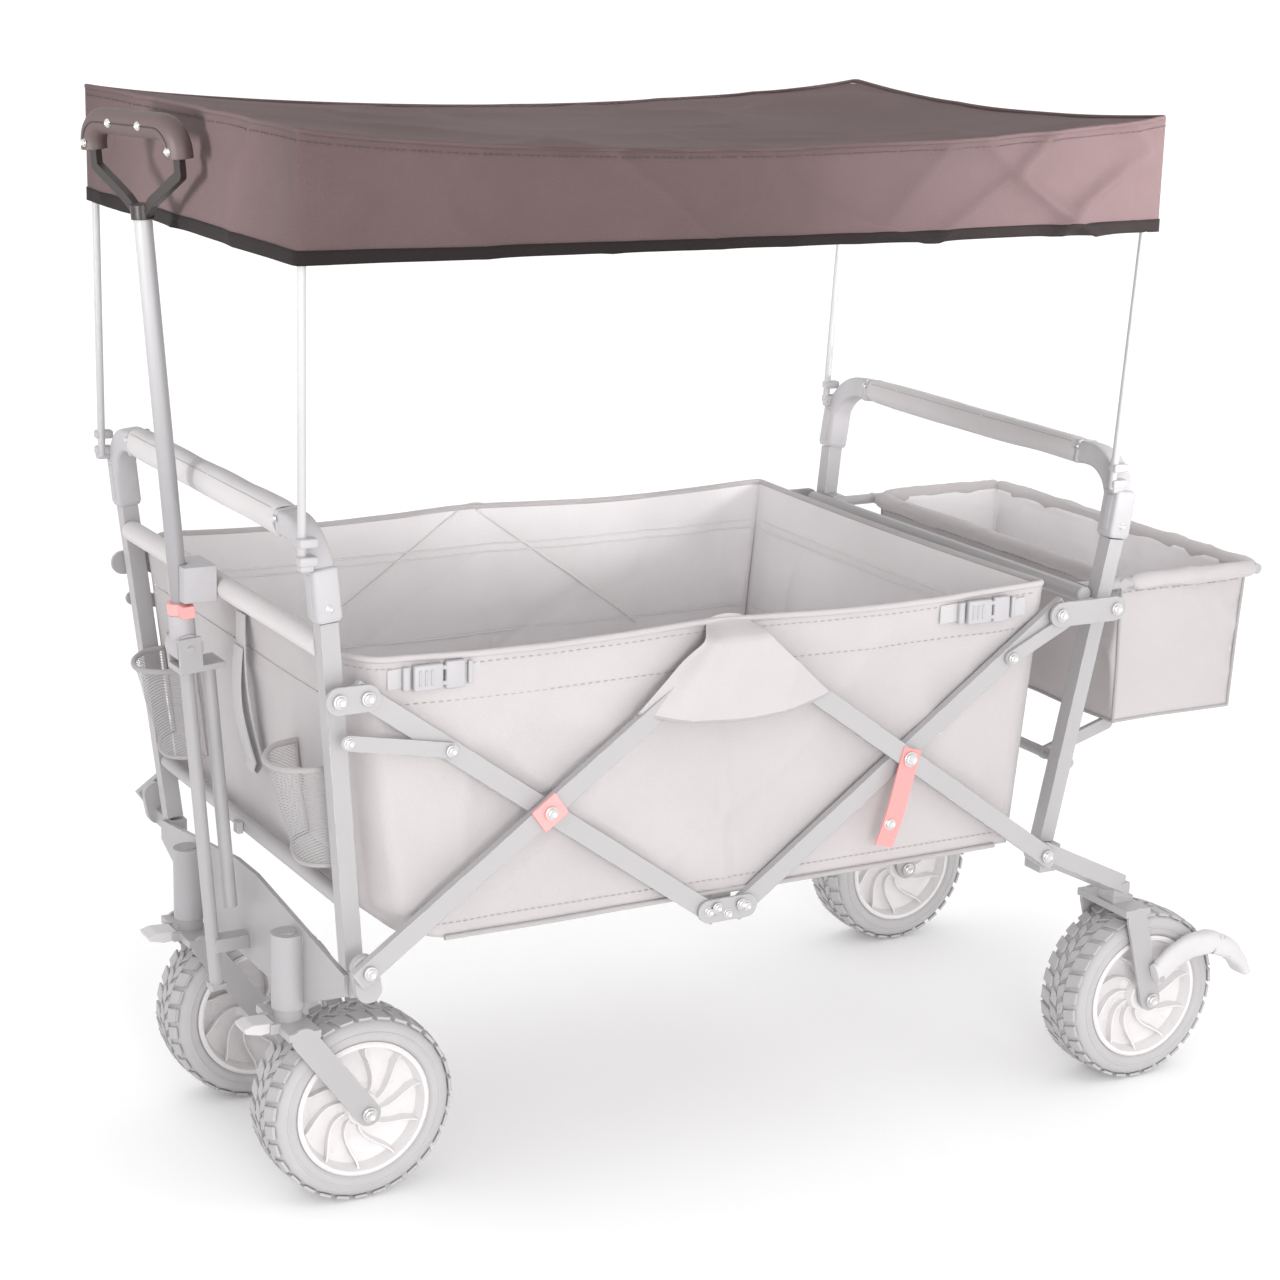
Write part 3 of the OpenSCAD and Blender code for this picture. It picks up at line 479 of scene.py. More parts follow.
def piece(name, shape, body, finish, stands_for=(), sharp=38, stitched=False):
    """Turns a shape in millimetres into a piece in its place on the wagon."""
    shape.transform(PLACE)
    shape.normal_update()
    layer = shape.loops.layers.uv.new("cloth")
    for face in shape.faces:
        up = max(range(3), key=lambda i: abs(face.normal[i]))
        first, second = ((1, 2), (0, 2), (0, 1))[up]
        for loop in face.loops:
            loop[layer].uv = (loop.vert.co[first], loop.vert.co[second])
    mesh = bpy.data.meshes.new(name)
    shape.to_mesh(mesh)
    shape.free()
    mesh.materials.append(finish)
    mesh.shade_smooth()
    mesh.set_sharp_from_angle(angle=math.radians(sharp))
    made = added(name, mesh)
    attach(made, body)
    if stands_for:
        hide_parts(*stands_for)
    return made


def clothed(made, thickness, inside_painted_light=None):
    """Gives cloth its thickness, inwards, and its inner face a finish of its own: a paler copy of the cloth, painted
    light for the shaded inside.
    """
    body = made.modifiers.new("cloth", "SOLIDIFY")
    body.thickness, body.offset = thickness, -1
    if inside_painted_light:
        made.data.materials.append(inside_painted_light)
        body.material_offset = 1


def rim_of(place, along, across):
    """Points round the rim of a case, in so many steps for each side."""
    edge = [place(-1 + 2 * i / along, -1, 1) for i in range(along)]
    edge += [place(1, -1 + 2 * i / across, 1) for i in range(across)]
    edge += [place(1 - 2 * i / along, 1, 1) for i in range(along)]
    return edge + [place(-1, 1 - 2 * i / across, 1) for i in range(across)]


def box_of(node):
    """The two corners of a node's box, in millimetres."""
    return [PLACE.inverted() @ Vector(corner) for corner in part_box(node)]


def ripple(spot, scale, seed=0.0):
    return noise.noise(Vector(spot) * scale + Vector((seed, seed * 0.7, seed * 1.3)))


def fold_line(spot, scale, seed, sharp=8):
    """Nearly nothing, but for thin ridges that wander over the cloth."""
    return max(0.0, 1 - abs(ripple(spot, scale, seed)) * 2.2) ** sharp


def eased(t):
    t = min(1.0, max(0.0, t))
    return t * t * (3 - 2 * t)


def away(amount, side):
    """A move outwards on either side of the wagon."""
    return amount if side > 0 else -amount


def between(a, b, share):
    return a + (b - a) * share


# ---------------------------------------------------------------- canopy
ROOF, HEM = 1083, 966
CANOPY = (-62, 894, 289)


def canopy_point(u, v, w, proud=0.0):
    """A point of the canopy, from its shares along, across and up, from -1 to 1."""
    length, half = (CANOPY[1] - CANOPY[0]) / 2, CANOPY[2]
    x, y = (CANOPY[0] + CANOPY[1]) / 2 + u * length, v * half
    span, width = 1 - u * u, 1 - v * v
    sag = 25 * span ** 0.85 * (1 - 0.25 * width) + 13 * width * eased((u + 0.2) / 1.2) + 9 * span * width
    roof = ROOF - 1.5 - sag
    up = (w + 1) / 2
    z = between(HEM, roof, up)
    spot = Vector((x, y, z)) / 1000
    side, end = abs(v) > 0.999, abs(u) > 0.999
    pulled = 7 * span * up ** 1.5 + 2.5 * span
    if side and not end:
        tail = 0.6 + 1.2 * eased((u + 0.1) / 0.9)
        ruck = (3.5 * ripple((spot.x, 0, spot.z * 0.35), 10, v)
                + 7.0 * tail * fold_line((spot.x + 0.8 * spot.z, 0, spot.z), 5, 3 + v, 4))
        ruck += (6.0 * tail * fold_line((spot.x - 1.3 * spot.z, 0, spot.z), 6, 8 + v, 4)
                 + 1.2 * ripple((spot.x, 0, spot.z * 2), 30, 5))
        ruck += 2.2 * math.exp(-(((abs(u) - 0.945) * 478 / 2.2) ** 2))
        y -= away(pulled - (ruck - 1.5) * min(1, span * 4) - proud, v)
    if end and not side:
        ruck = (2.4 * ripple((0, spot.y, spot.z * 0.4), 11, u)
                + 5.0 * fold_line((0, spot.y + 0.7 * spot.z, spot.z), 6, u + 5, 4))
        x -= away(4 * width * up + 1.5 * width - (ruck - 1) * min(1, width * 4) - proud, u)
    if side and end:
        x += away(proud * 0.7 - 1, u)
        y += away(proud * 0.7 - 1, v)
    if w > 0.999:
        roofed = min(1, 4 * span, 4 * width)
        z += roofed * (4 * ripple(spot, 6, 2) + 5 * fold_line(spot, 3.6, 6, 5)
                       + 4 * fold_line((spot.x * 0.4, spot.y, 0), 5, 9, 5))
    return Vector((x, y, z))


def make_canopy():
    cuts = (176, 96, 26)
    shape = case(*cuts, canopy_point, open_top=False, open_bottom=True)
    corners = [e for e in shape.edges if e.calc_face_angle(0) > 0.9]
    soften(shape, corners, 2.2, 2, clamp_overlap=True)
    cloth = piece("canopy_cloth", shape, "front_frame", canopy_cloth, ("canopy",), 180)
    clothed(cloth, 0.0012)
    tape = case(*cuts, lambda u, v, w: canopy_point(u, v, w, 1.3) - UP * 0.9, True, True, below=-0.77)
    tape = piece("canopy_binding", tape, "front_frame", binding_tape, sharp=180)
    clothed(tape, 0.0034)
    edge = [p + UP * 0.6 for p in rim_of(canopy_point, 60, 40)]
    piping = piece("canopy_piping", strand(edge, 2.3, closed=True), "front_frame",
                   canopy_cloth)
    seams = [stitches([canopy_point(-0.995 + 1.99 * i / 80, v, 0.86, 1.0) for i in range(81)])
             for v in (-1, 1)]
    seams += [stitches([canopy_point(u, -0.99 + 1.98 * i / 50, 0.86, 1.0) for i in range(51)])
              for u in (-1, 1)]
    seam = piece("canopy_stitching", gathered(seams), "front_frame", dark_thread)
    for each in (cloth, tape, piping, seam):
        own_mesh(each)


make_canopy()


# ---------------------------------------------------------------- basket
RIM, FLOOR, KNEE = 603, 317, 350
SIDE = 284
SEAM = 557


def front_wall(z):
    """How far back the front wall of the basket stands."""
    if z >= KNEE:
        return between(11.8, -17.9, (z - KNEE) / (RIM - KNEE))
    return between(51.8, 11.8, (z - FLOOR) / (KNEE - FLOOR))


def rear_wall(z):
    return between(750, 777, (z - FLOOR) / (RIM - FLOOR))


def level(z):
    """The share of the basket's height, from -1 to 1, at which a height lies."""
    return 2 * (z - FLOOR) / (RIM - FLOOR) - 1


def shortens(*pieces):
    """Gives each of the pieces a mesh of its own."""
    for each in pieces:
        PLACE @ Vector((front_wall(RIM), 0, 0))
        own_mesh(each)


def basket_point(u, v, w, proud=0.0):
    """A point of the basket, from its shares along, across and up, from -1 to 1."""
    up = (w + 1) / 2
    droop = 6 * abs(math.sin(math.pi * u)) ** 1.3 if abs(v) > 0.999 else 3 * (1 - v * v)
    z = between(FLOOR, RIM - droop * up ** 4, up)
    x = between(front_wall(z), rear_wall(z), (u + 1) / 2)
    wide = between(248, SIDE, eased((x - front_wall(z)) / 34))
    y = v * wide
    spot = Vector((x, y, z)) / 1000
    side, end, base = abs(v) > 0.999, abs(u) > 0.999, w < -0.999
    loose = 4 * up * (1 - up)
    band = eased((z - SEAM) / 3)
    if side and not end:
        calm = min(1, (1 - abs(u)) * 7)
        ruck = 5.0 * ripple((spot.x, 0, spot.z * 0.7), 8, v) * loose
        ruck += 9.0 * fold_line((spot.x + 0.6 * spot.z, 0, spot.z), 3.8, 4 + v, 4) * loose
        ruck += 8.0 * fold_line((spot.x - 1.1 * spot.z, 0, spot.z), 4.4, 12 + v, 4) * loose
        ruck += (4.0 * fold_line((spot.x, 0, spot.z * 0.25), 9, 21 + v, 3) * loose
                 * eased((abs(u) - 0.4) / 0.4))
        ruck += (5.0 * math.exp(-((x - CENTRE - 8 * math.sin(z / 22)) / 16) ** 2)
                 * eased((500 - z) / 60) * abs(math.cos((x - CENTRE) / 9)))
        ruck += 2.2 * ripple((spot.x, 0, spot.z), 15, 3 * v) * band
        y += away(min(1.8, -8.0 * loose + ruck * calm + proud) + band * 1.2, v)
    if end and not side:
        ruck = (4.0 * ripple((0, spot.y, spot.z), 8, u) * loose
                + 5.0 * fold_line((0, spot.y + 0.5 * spot.z, spot.z), 5, u + 2, 5) * loose)
        x += away(min(2.0, ruck - 4.0 * loose + proud) * min(1, (1 - abs(v)) * 6), u)
    if base:
        z += 0.8 * ripple(spot, 9, 5) + 0.5
    return Vector((x, y, z))


def make_basket():
    def along(v, height, proud, low=-0.97, long=1.94, steps=80):
        return [basket_point(low + long * i / steps, v, height, proud) for i in range(steps + 1)]

    def across(u, height, proud, low=-0.97, long=1.94, steps=50):
        return [basket_point(u, low + long * i / steps, height, proud) for i in range(steps + 1)]

    shape = case(128, 84, 48, basket_point)
    cloth = piece("basket_cloth", shape, "front_frame", basket_cloth, ("basket",), 180)
    # The inner face takes the paler copy of the cloth: painted light on the shaded inside of the basket.
    clothed(cloth, 0.0018, painted_light_inner_cloth)
    seams = []
    for v in (-1, 1):
        seams.append(stitches(along(v, level(SEAM - 2), 0.6, -0.96, 1.92, 90)))
        seams.append(stitches(along(v, level(RIM - 11), 0.6, -0.98, 1.96, 90)))
        seams.append(stitches(along(v, -0.9, 0.8, -0.9, 1.85, 90)))
    seams += [stitches(across(u, level(SEAM - 2), 0.6, -0.95, 1.9, 60)) for u in (-1, 1)]
    seam = piece("basket_stitching", gathered(seams), "front_frame", thread)
    lines = []
    for height in (SEAM, SEAM - 9, 452):
        lines += [strand(along(v, level(height), -4.2), 1.1) for v in (-1, 1)]
        lines += [strand(across(u, level(height), -4.2), 1.1) for u in (-1, 1)]
    for v in (-1, 1):
        for foot, top in ((-0.62, -0.03), (0.58, 0.03)):
            slant = [basket_point(between(foot, top, i / 30), v, between(-0.1, 0.97, i / 30), -4.0)
                     for i in range(31)]
            lines.append(strand(slant, 1.5))
    # The inside seams take the paler copy of the cloth: painted light on the shaded inside.
    inside_painted_light = piece("basket_inside_seams_painted_light", gathered(lines), "front_frame", painted_light_inner_cloth)
    rim = [p - UP * 1.5 for p in rim_of(basket_point, 70, 40)]
    hem = piece("basket_hem", strand(rim, 3.4, closed=True), "front_frame", basket_cloth)
    foot = along(-1, -1, 1.5, -0.9, 1.85, 70)
    lower = [strand(foot, 2.6), strand([Vector((p.x, -p.y, p.z)) for p in foot], 2.6)]
    base = piece("basket_binding", gathered(lower), "front_frame", basket_tape)
    shortens(cloth, seam, inside_painted_light, hem, base)


make_basket()


def flap_point(side, s, t):
    """A point of the flap that hangs over the upper middle bracket."""
    peak = Vector((between(CENTRE - 24, CENTRE + 13, s), 0, RIM + 1.5))
    left, right, belly = Vector((284, 0, 523)), Vector((500, 0, 521)), Vector((405, 0, 492))
    low = left * (1 - s) ** 2 + belly * 2 * s * (1 - s) + right * s ** 2
    spot = peak.lerp(low, t)
    spot.y = SIDE - 1 + 29 * eased(t * 4.5) - 5 * (1 - math.sin(math.pi * s)) * t
    spot.y += 2.5 * math.exp(-((s - 0.2) / 0.1) ** 2) * eased(t * 4)
    spot.y -= 14 * (1 - eased(s / 0.14)) * eased(t * 2) * (1 - 0.5 * t)
    ruck = 1.6 * ripple((spot.x / 1000, 0, spot.z / 1000), 16, 2 * side)
    ruck += 3.0 * fold_line((spot.x / 1000, side, spot.z / 1300), 8, side + 3, 5)
    spot.y += ruck * min(1, t * 3)
    spot.z += 3 * math.sin(math.pi * s) * (1 - t) - 1
    spot.y *= side
    return spot


def make_flaps():
    for word, side in SIDES:
        shape = grid(36, 24, lambda s, t: flap_point(side, s, t))
        flap = piece("side_flap_" + word, thick(shape, 1.6), "front_frame",
                     basket_cloth, sharp=60)
        edge = strand([flap_point(side, i / 40, 1.0) for i in range(41)], 2.0)
        seam = stitches([flap_point(side, i / 60, 0.94) + ACROSS * side * 1.1 for i in range(61)])
        trim = piece("flap_hem_" + word, gathered([edge, seam]), "front_frame", thread)
        shortens(flap, trim)


make_flaps()


def make_floor_pad():
    low, high = box_of("floor_mat")

    def place(u, v, w):
        x, y = between(low.x, high.x, (u + 1) / 2), between(low.y, high.y, (v + 1) / 2)
        crown = (1 - u ** 8) * (1 - v ** 8)
        rows = math.exp(-((((x - low.x) % 110) - 55) / 7) ** 2)
        quilt = 1 - 0.65 * max(rows, math.exp(-(((y % 140) - 70) / 7) ** 2))
        top = low.z + (high.z - low.z) * (0.35 + 0.6 * crown * quilt)
        return Vector((x, y, between(low.z, high.z, 0.5 + 0.5 * w) if w < 0 else top))

    shape = case(96, 80, 4, place, open_top=False)
    # The pad takes the paler copy of the cloth: painted light on the shaded basket floor.
    pad = piece("floor_pad", shape, "front_frame", painted_light_inner_cloth, ("floor_mat",), 60)
    shortens(pad)


make_floor_pad()


# ---------------------------------------------------------------- straps, buckles and pockets
def strap(points, width, across, thickness=1.6, steps=2):
    """Webbing along points, its width along one direction."""
    count = len(points) - 1
    across = Vector(across).normalized()

    def place(s, t):
        at = s * count
        i = min(count - 1, int(at))
        return points[i].lerp(points[i + 1], at - i) + across * (t - 0.5) * width

    return thick(grid(max(8, count * 4), steps, place), thickness)


def make_buckles():
    tapes, clips = [], []
    for start, stop in ((26, 121), (REAR - 142, REAR - 34)):
        mid = (start + stop) / 2
        y = -SIDE - 2.4
        run = [Vector((start + (stop - start) * i / 10, y - 0.8 * math.sin(i),
                       580 + 1.5 * math.sin(i * 0.6))) for i in range(11)]
        tapes.append(strap(run, 19, UP))
        clips.append(block((mid - 24, y - 8, 568), (mid + 6, y - 1, 593), 2.0))
        clips.append(block((mid + 9, y - 7, 567), (mid + 29, y - 1, 594), 2.0))
        clips.append(block((mid - 34, y - 6, 569), (mid - 27, y - 1, 592), 1.5))
        for z in (571, 586):
            clips.append(block((mid + 4, y - 6.5, z), (mid + 12, y - 2, z + 4.5), 1.2))
        clips.append(block((mid + 33, y - 5, 569), (mid + 38, y - 1, 592), 1.5))
        for i in range(3):
            at = mid - 19 + i * 6
            clips.append(block((at, y - 9, 573), (mid - 16.5 + i * 6, y - 7.5, 588), 0.6, 1))
    buckle = piece("basket_buckles", twinned(gathered(clips)), "front_frame",
                   black_nylon, ("side_buckles",))
    tape = piece("buckle_webbing", twinned(gathered(tapes)), "front_frame", webbing,
                 sharp=60)
    shortens(buckle, tape)


make_buckles()


def make_front_strap():
    def at(z, out, height=None):
        return Vector((front_wall(z) - out, -38, z if height is None else height))

    down = [at(z, 4 + 7 * math.sin(math.pi * (592 - z) / 160)) for z in range(592, 430, -8)]
    turn = [at(430, 8, 428), at(428, 13, 424), at(430, 17)]
    back = [at(z, 12 + 9 * math.sin(math.pi * (560 - z) / 130)) for z in range(438, 560, 10)]
    piece("carry_strap", strap(down + turn + back, 22, ACROSS), "front_frame", webbing,
          ("front_strap",), sharp=60)


make_front_strap()


def make_pockets():
    low, high, inner, outer = 390, 486, 139, 238

    def swell(s):
        return max(0.0, math.sin(math.pi * s)) ** 0.4

    def wall(side):
        def place(s, t):
            z = between(low - 8 * math.sin(math.pi * s), high - 5 * math.sin(math.pi * s), t)
            y = between(inner, outer, s)
            out = (30 + 18 * t) * swell(s)
            spot = Vector((front_wall(z) - 1 - out, side * y, z))
            spot.x -= 1.5 * ripple(spot / 1000, 30, side)
            return spot
        return place

    def base(side):
        def place(s, t):
            z = low - 8 * math.sin(math.pi * s) * t
            return Vector((front_wall(low) - 30 * t * swell(s), side * between(inner, outer, s), z))
        return place

    nets, tapes = [], []
    for side in (-1, 1):
        nets += [grid(30, 24, wall(side)), grid(20, 6, base(side))]
        for share, radius in ((1.0, 3.0), (0.0, 2.4)):
            tapes.append(strand([wall(side)(i / 30, share) for i in range(31)], radius))
        for share in (0, 1):
            tapes.append(strand([wall(side)(share, i / 20) for i in range(21)], 2.2))
    piece("pocket_netting", gathered(nets), "front_frame", pocket_net,
          ("front_pockets",), sharp=180)
    piece("pocket_binding", gathered(tapes), "front_frame", basket_tape, sharp=60)


make_pockets()


# ---------------------------------------------------------------- push bars
FRONT_POST = ((-30, 274, 640), (6, 248, 290))
REAR_POST = ((REAR + 85, 274, 640), (REAR + 38, 248, 300))
BAR_Z = 720
BAR_HALF = 204


def lean_of(post):
    (tx, _, tz), (fx, _, fz) = post
    return math.atan2(fx - tx, tz - fz)


def make_elbow(post, name, node, body):
    """A moulded corner: socket, quarter bend and sleeve for the bar."""
    lean = lean_of(post)
    top = Vector(post[0])
    rise = (BAR_Z - top.z) / math.cos(lean)
    bend, half = 50, 12
    shape = bmesh.new()
    bmesh.ops.create_grid(shape, x_segments=1, y_segments=1, size=half)
    bmesh.ops.bevel(shape, geom=shape.verts[:], offset=4.5, segments=3, profile=0.5,
                    affect="VERTICES", material=-1)
    foot = shape.faces[:]
    bmesh.ops.translate(shape, vec=(0, 0, 1), verts=shape.verts)
    raised = bmesh.ops.extrude_face_region(shape, geom=foot)["geom"]
    loop = [g for g in raised if isinstance(g, bmesh.types.BMVert)]
    bmesh.ops.translate(shape, vec=(0, 0, rise - bend - 1), verts=loop)
    cap = [g for g in raised if isinstance(g, bmesh.types.BMFace)]
    swept = bmesh.ops.spin(shape, geom=cap, cent=(0, -bend, rise - bend), axis=(1, 0, 0),
                           angle=math.pi / 2, steps=14)["geom_last"]
    end = [g for g in swept if isinstance(g, bmesh.types.BMFace)]
    pushed = bmesh.ops.extrude_face_region(shape, geom=end)["geom"]
    pushed = [g for g in pushed if isinstance(g, bmesh.types.BMVert)]
    bmesh.ops.translate(shape, vec=(0, -20, 0), verts=pushed)
    bmesh.ops.recalc_face_normals(shape, faces=shape.faces)
    socket, collar = half + 0.9, half + 1.2
    parts = [shape, block((-socket, -socket, 1.5), (socket, socket, 52), 3.6, 3)]
    parts.append(block((-collar, -bend - 21, rise - collar), (collar, -bend - 14, rise + collar), 3.0, 3))
    for dx in (-1, 1):
        parts.append(block((dx * socket - 0.8, -5, 8), (dx * socket + 0.8, 5, 46), 0.7))
    stand = Matrix.Translation(top) @ Matrix.Rotation(-lean, 4, "Y")
    whole = twinned(moved(gathered(parts), stand))
    piece(name, whole, body, black_nylon, (node,))
    spots = [(Vector((0, socket, 14)), ACROSS), (Vector((-collar, -bend - 17.5, rise + 5)), -AHEAD)]
    heads = twinned(moved(gathered([bolt(at, out, 3.2, 1.8) for at, out in spots]), stand))
    piece(name + "_bolts", heads, body, zinc)


make_elbow(FRONT_POST, "front_corner", "front_elbows", "front_frame")
make_elbow(REAR_POST, "rear_corner", "rear_elbows", "rear_frame")


def make_pole_clips():
    """The moulded rings that hold the feet of the canopy poles against the corners."""
    for name, body, x, y in (("front_pole_clips", "front_frame", -54.4, 282.9),
                             ("rear_pole_clips", "rear_frame", 868.0, 279.6)):
        parts = [block((x - 6.5, y - 6.5, z), (x + 12, y + 6.0, z + 9), 2.2) for z in (695, 712)]
        parts.append(block((x - 5.5, y - 5.5, 690), (x + 8, y + 5.0, 697), 1.8))
        piece(name, twinned(gathered(parts)), body, black_nylon)


make_pole_clips()


def make_sleeve(name, node, body, post, radius, seed, finish, folds):
    """Cloth and foam round a push bar, between its corners."""
    lean = lean_of(post)
    x = post[0][0] - math.tan(lean) * (BAR_Z - post[0][2])

    def place(s, t):
        y = between(-BAR_HALF + 1, BAR_HALF - 1, s)
        turn = 2 * math.pi * t
        gape = radius - 1.6 * math.exp(-min(s, 1 - s) * 60)
        dent = folds * ripple((y / 1000 * 1.6, math.cos(turn) * 0.1, math.sin(turn) * 0.1), 9, seed)
        lap = 1.4 * max(0, math.cos(turn - 2.2)) ** 14
        r = gape + dent + lap
        return Vector((x + r * math.cos(turn), y, BAR_Z + r * math.sin(turn)))

    shape = grid(90, 32, place)
    bmesh.ops.remove_doubles(shape, verts=shape.verts, dist=0.05)
    bmesh.ops.recalc_face_normals(shape, faces=shape.faces)
    bmesh.ops.solidify(shape, geom=shape.faces[:], thickness=2.2)
    made = piece(name, shape, body, finish, (node,), sharp=60)
    line = [place(0.02 + 0.96 * i / 60, 0.385) for i in range(61)]
    centre = Vector((x, 0, BAR_Z))
    line = [p + (p - Vector((centre.x, p.y, centre.z))).normalized() * 0.4 for p in line]
    piece(name + "_seam", stitches(line), body, thread)


make_sleeve("front_pad", "front_grip_pad", "front_frame", FRONT_POST, 16.2, 3, pad_cloth, 1.2)
make_sleeve("rear_pad", "rear_grip_wrap", "rear_frame", REAR_POST, 14.4, 8, pad_cloth, 1.4)


# ---------------------------------------------------------------- rear basket
BAG_X, BAG_L, BAG_Y, BAG_TOP, BAG_H = REAR + 135.3, 176, 235, 578, 164


def bag_point(u, v, w):
    up = (w + 1) / 2
    x = BAG_X + BAG_L / 2 + u * (BAG_L / 2 - 1 - 5 * (1 - up))
    y = v * (BAG_Y - 1 - 5 * (1 - up))
    z = between(BAG_TOP + 2 - BAG_H, BAG_TOP, up)
    spot = Vector((x, y, z)) / 1000
    loose = 4 * up * (1 - up)
    side, end = abs(v) > 0.999, abs(u) > 0.999
    band = 1.6 * eased((z - BAG_TOP + 34) / 4) * eased((BAG_TOP - 4 - z) / 6)
    bunched = 5 * eased((z - BAG_TOP + 50) / 40)
    if side and not end:
        ruck = (4 * ripple((spot.x, 0, spot.z), 11, v)
                + 6 * fold_line((spot.x + 0.4 * spot.z, 0, spot.z), 7, v + 1, 4))
        ruck += bunched * ripple((spot.x * 1.6, 0, spot.z * 0.5), 30, v)
        y += away(band - 5 * loose + loose * ruck, v)
    if end and not side:
        ruck = (5 * ripple((0, spot.y, spot.z), 9, u)
                + 6 * fold_line((0, spot.y + 0.5 * spot.z, spot.z), 5, u + 4, 4))
        ruck += bunched * ripple((0, spot.y * 1.6, spot.z * 0.5), 26, u)
        x += away(band - 6 * loose * (1 - v * v) + loose * ruck, u)
    if side and end:
        x += 1.2 * ripple((0, v, spot.z), 14, u) * loose
        y += 1.2 * ripple((u, 0, spot.z), 14, v) * loose
    if w < -0.999:
        z -= 5 * (1 - u * u) * (1 - v * v) - 2.5 * ripple(spot, 10, 4)
    return Vector((x, y, z))


def bunched_sleeve(a, b, radius):
    """A cloth tube round a rail, gathered along it."""
    ahead = (b - a).normalized()
    side = ahead.cross(UP)

    def place(s, t):
        turn = 2 * math.pi * t
        push = side * math.cos(turn) + UP * math.sin(turn)
        at = a.lerp(b, s)
        swell = (1.3 * ripple(at / 1000 + push * 0.012, 34, 3)
                 + 1.6 * fold_line(at / 1000 + push * 0.03, 16, 7, 4))
        closing = 1 - 0.35 * math.exp(-min(s, 1 - s) * (b - a).length / 4)
        return at + push * ((radius + swell) * closing)

    return sealed(grid(int((b - a).length / 5), 24, place))


def make_rear_bag():
    shape = case(44, 110, 40, bag_point)
    cloth = piece("rear_bag", shape, "rear_frame", basket_cloth, ("rear_basket",), 180)
    # The inner face takes the paler copy of the cloth: painted light on the shaded inside of the bag.
    clothed(cloth, 0.0018, painted_light_inner_cloth)
    x0, x1, y = BAG_X - 6.3, BAG_X + BAG_L + 6.3, BAG_Y + 6
    rails = (((x0, -y + 12), (x0, y - 12)), ((x1, -y + 1), (x1, y - 1)),
             ((x0 + 14, -y), (x1 - 1, -y)), ((x0 + 14, y), (x1 - 1, y)))
    sleeves = [bunched_sleeve(Vector((*a, BAG_TOP)), Vector((*b, BAG_TOP)), 9.0) for a, b in rails]
    piece("rear_bag_sleeves", gathered(sleeves), "rear_frame", basket_cloth)
    seams = []
    for v in (-1, 1):
        hem = [bag_point(-0.97 + 1.94 * i / 30, v, 0.84) + ACROSS * v * 0.8 for i in range(31)]
        seams.append(stitches(hem))
    for u in (-1, 1):
        hem = [bag_point(u, -0.98 + 1.96 * i / 50, 0.84) + AHEAD * u * 0.8 for i in range(51)]
        seams.append(stitches(hem))
        seams += [strand([bag_point(u, v, -1 + 1.9 * i / 12) for i in range(13)], 1.7) for v in (-1, 1)]
    for v in (-1, 1):
        seams.append(strand([bag_point(-1 + 2 * i / 20, v, -1) for i in range(21)], 1.9))
        seams.append(strand([bag_point(v, -1 + 2 * i / 30, -1) for i in range(31)], 1.9))
    piece("rear_bag_seams", gathered(seams), "rear_frame", thread)


make_rear_bag()


# ---------------------------------------------------------------- wheels
def tread_block(first, last, y0, y1, skew, base, top):
    shape = bmesh.new()
    bmesh.ops.create_cube(shape, size=2)
    for v in shape.verts:
        share, wide = (v.co.x + 1) / 2, (v.co.y + 1) / 2
        y = between(y0, y1, wide)
        angle = between(first, last, share) + skew * wide
        fall = 0.0085 * max(0.0, abs(y) - 15) ** 2
        r = (top if v.co.z > 0 else base) - fall
        v.co = Vector((r * math.sin(angle), y, r * math.cos(angle)))
    return soften(shape, shape.edges[:], 0.7, 1)


def make_tyre():
    half = [(72.2, 30.5), (75, 33.2), (80, 34), (86, 33.4), (91, 31), (94.6, 26.5), (96.2, 20), (96.8, 10)]
    profile = [(r, -y) for r, y in half] + [(r, y) for r, y in reversed(half)]
    parts = [ring(profile)]
    count, rows = 30, ((0, 0.7, 12.5, 29.5, 0.25), (0.5, 1.2, -12.5, -29.5, 0.25),
                       (0.2, 0.85, 1.2, 10.5, 0.3), (0.7, 1.35, -1.2, -10.5, 0.3))
    step = 2 * math.pi / count
    for i in range(count):
        at = i * step
        for first, last, y0, y1, skew in rows:
            parts.append(tread_block(at + step * first, at + step * last, y0, y1, step * skew, 96.6, 99.8))
    for y in (-1, 1):
        parts.append(ring([(80.5, y * 33.6), (81.5, y * 34.7), (83, y * 34.7), (84, y * 33.4)], closed=False))
    whole = gathered(parts)
    bmesh.ops.recalc_face_normals(whole, faces=whole.faces)
    return whole


def make_hub():
    side = [(71.8, 31.5), (69.5, 33.4), (66.5, 32.6), (64.8, 27), (62.5, 19), (54, 13.5), (36, 11),
            (23, 14), (18, 19), (17, 31), (15.5, 32), (9.5, 32), (8.5, 30.5), (6.3, 30.5)]
    profile = [(r, -y) for r, y in side] + [(r, y) for r, y in reversed(side)]
    parts = [ring(profile, 90)]
    for i in range(10):
        for face in (-1, 1):
            def place(s, t, i=i, face=face):
                r = between(17.5, 65, s)
                angle = math.radians(36 * i) + face * 0.62 * eased(s) ** 0.8 + 0.05 * t
                low, high = 10.5, between(23, 29.5, s) - 5.5 * math.sin(math.pi * s)
                return Vector((r * math.sin(angle), face * between(low, high, t), r * math.cos(angle)))
            parts.append(thick(grid(12, 2, place), 2.0))
    return gathered(parts)


def make_wheels():
    for end, x, track in (("front", FRONT_AXLE, FRONT_TRACK), ("rear", REAR_AXLE, REAR_TRACK)):
        for where, side in SIDES:
            at = Matrix.Translation((x, side * track, AXLE_Z))
            body, word = f"{end}_wheel_{where}", f"{end}_{where}"
            piece("tyre_tread_" + word, moved(make_tyre(), at), body, rubber,
                  ("tyre_" + word,), sharp=30)
            piece("hub_dish_" + word, moved(make_hub(), at), body, hub_plastic,
                  ("hub_" + word,), sharp=30)


make_wheels()


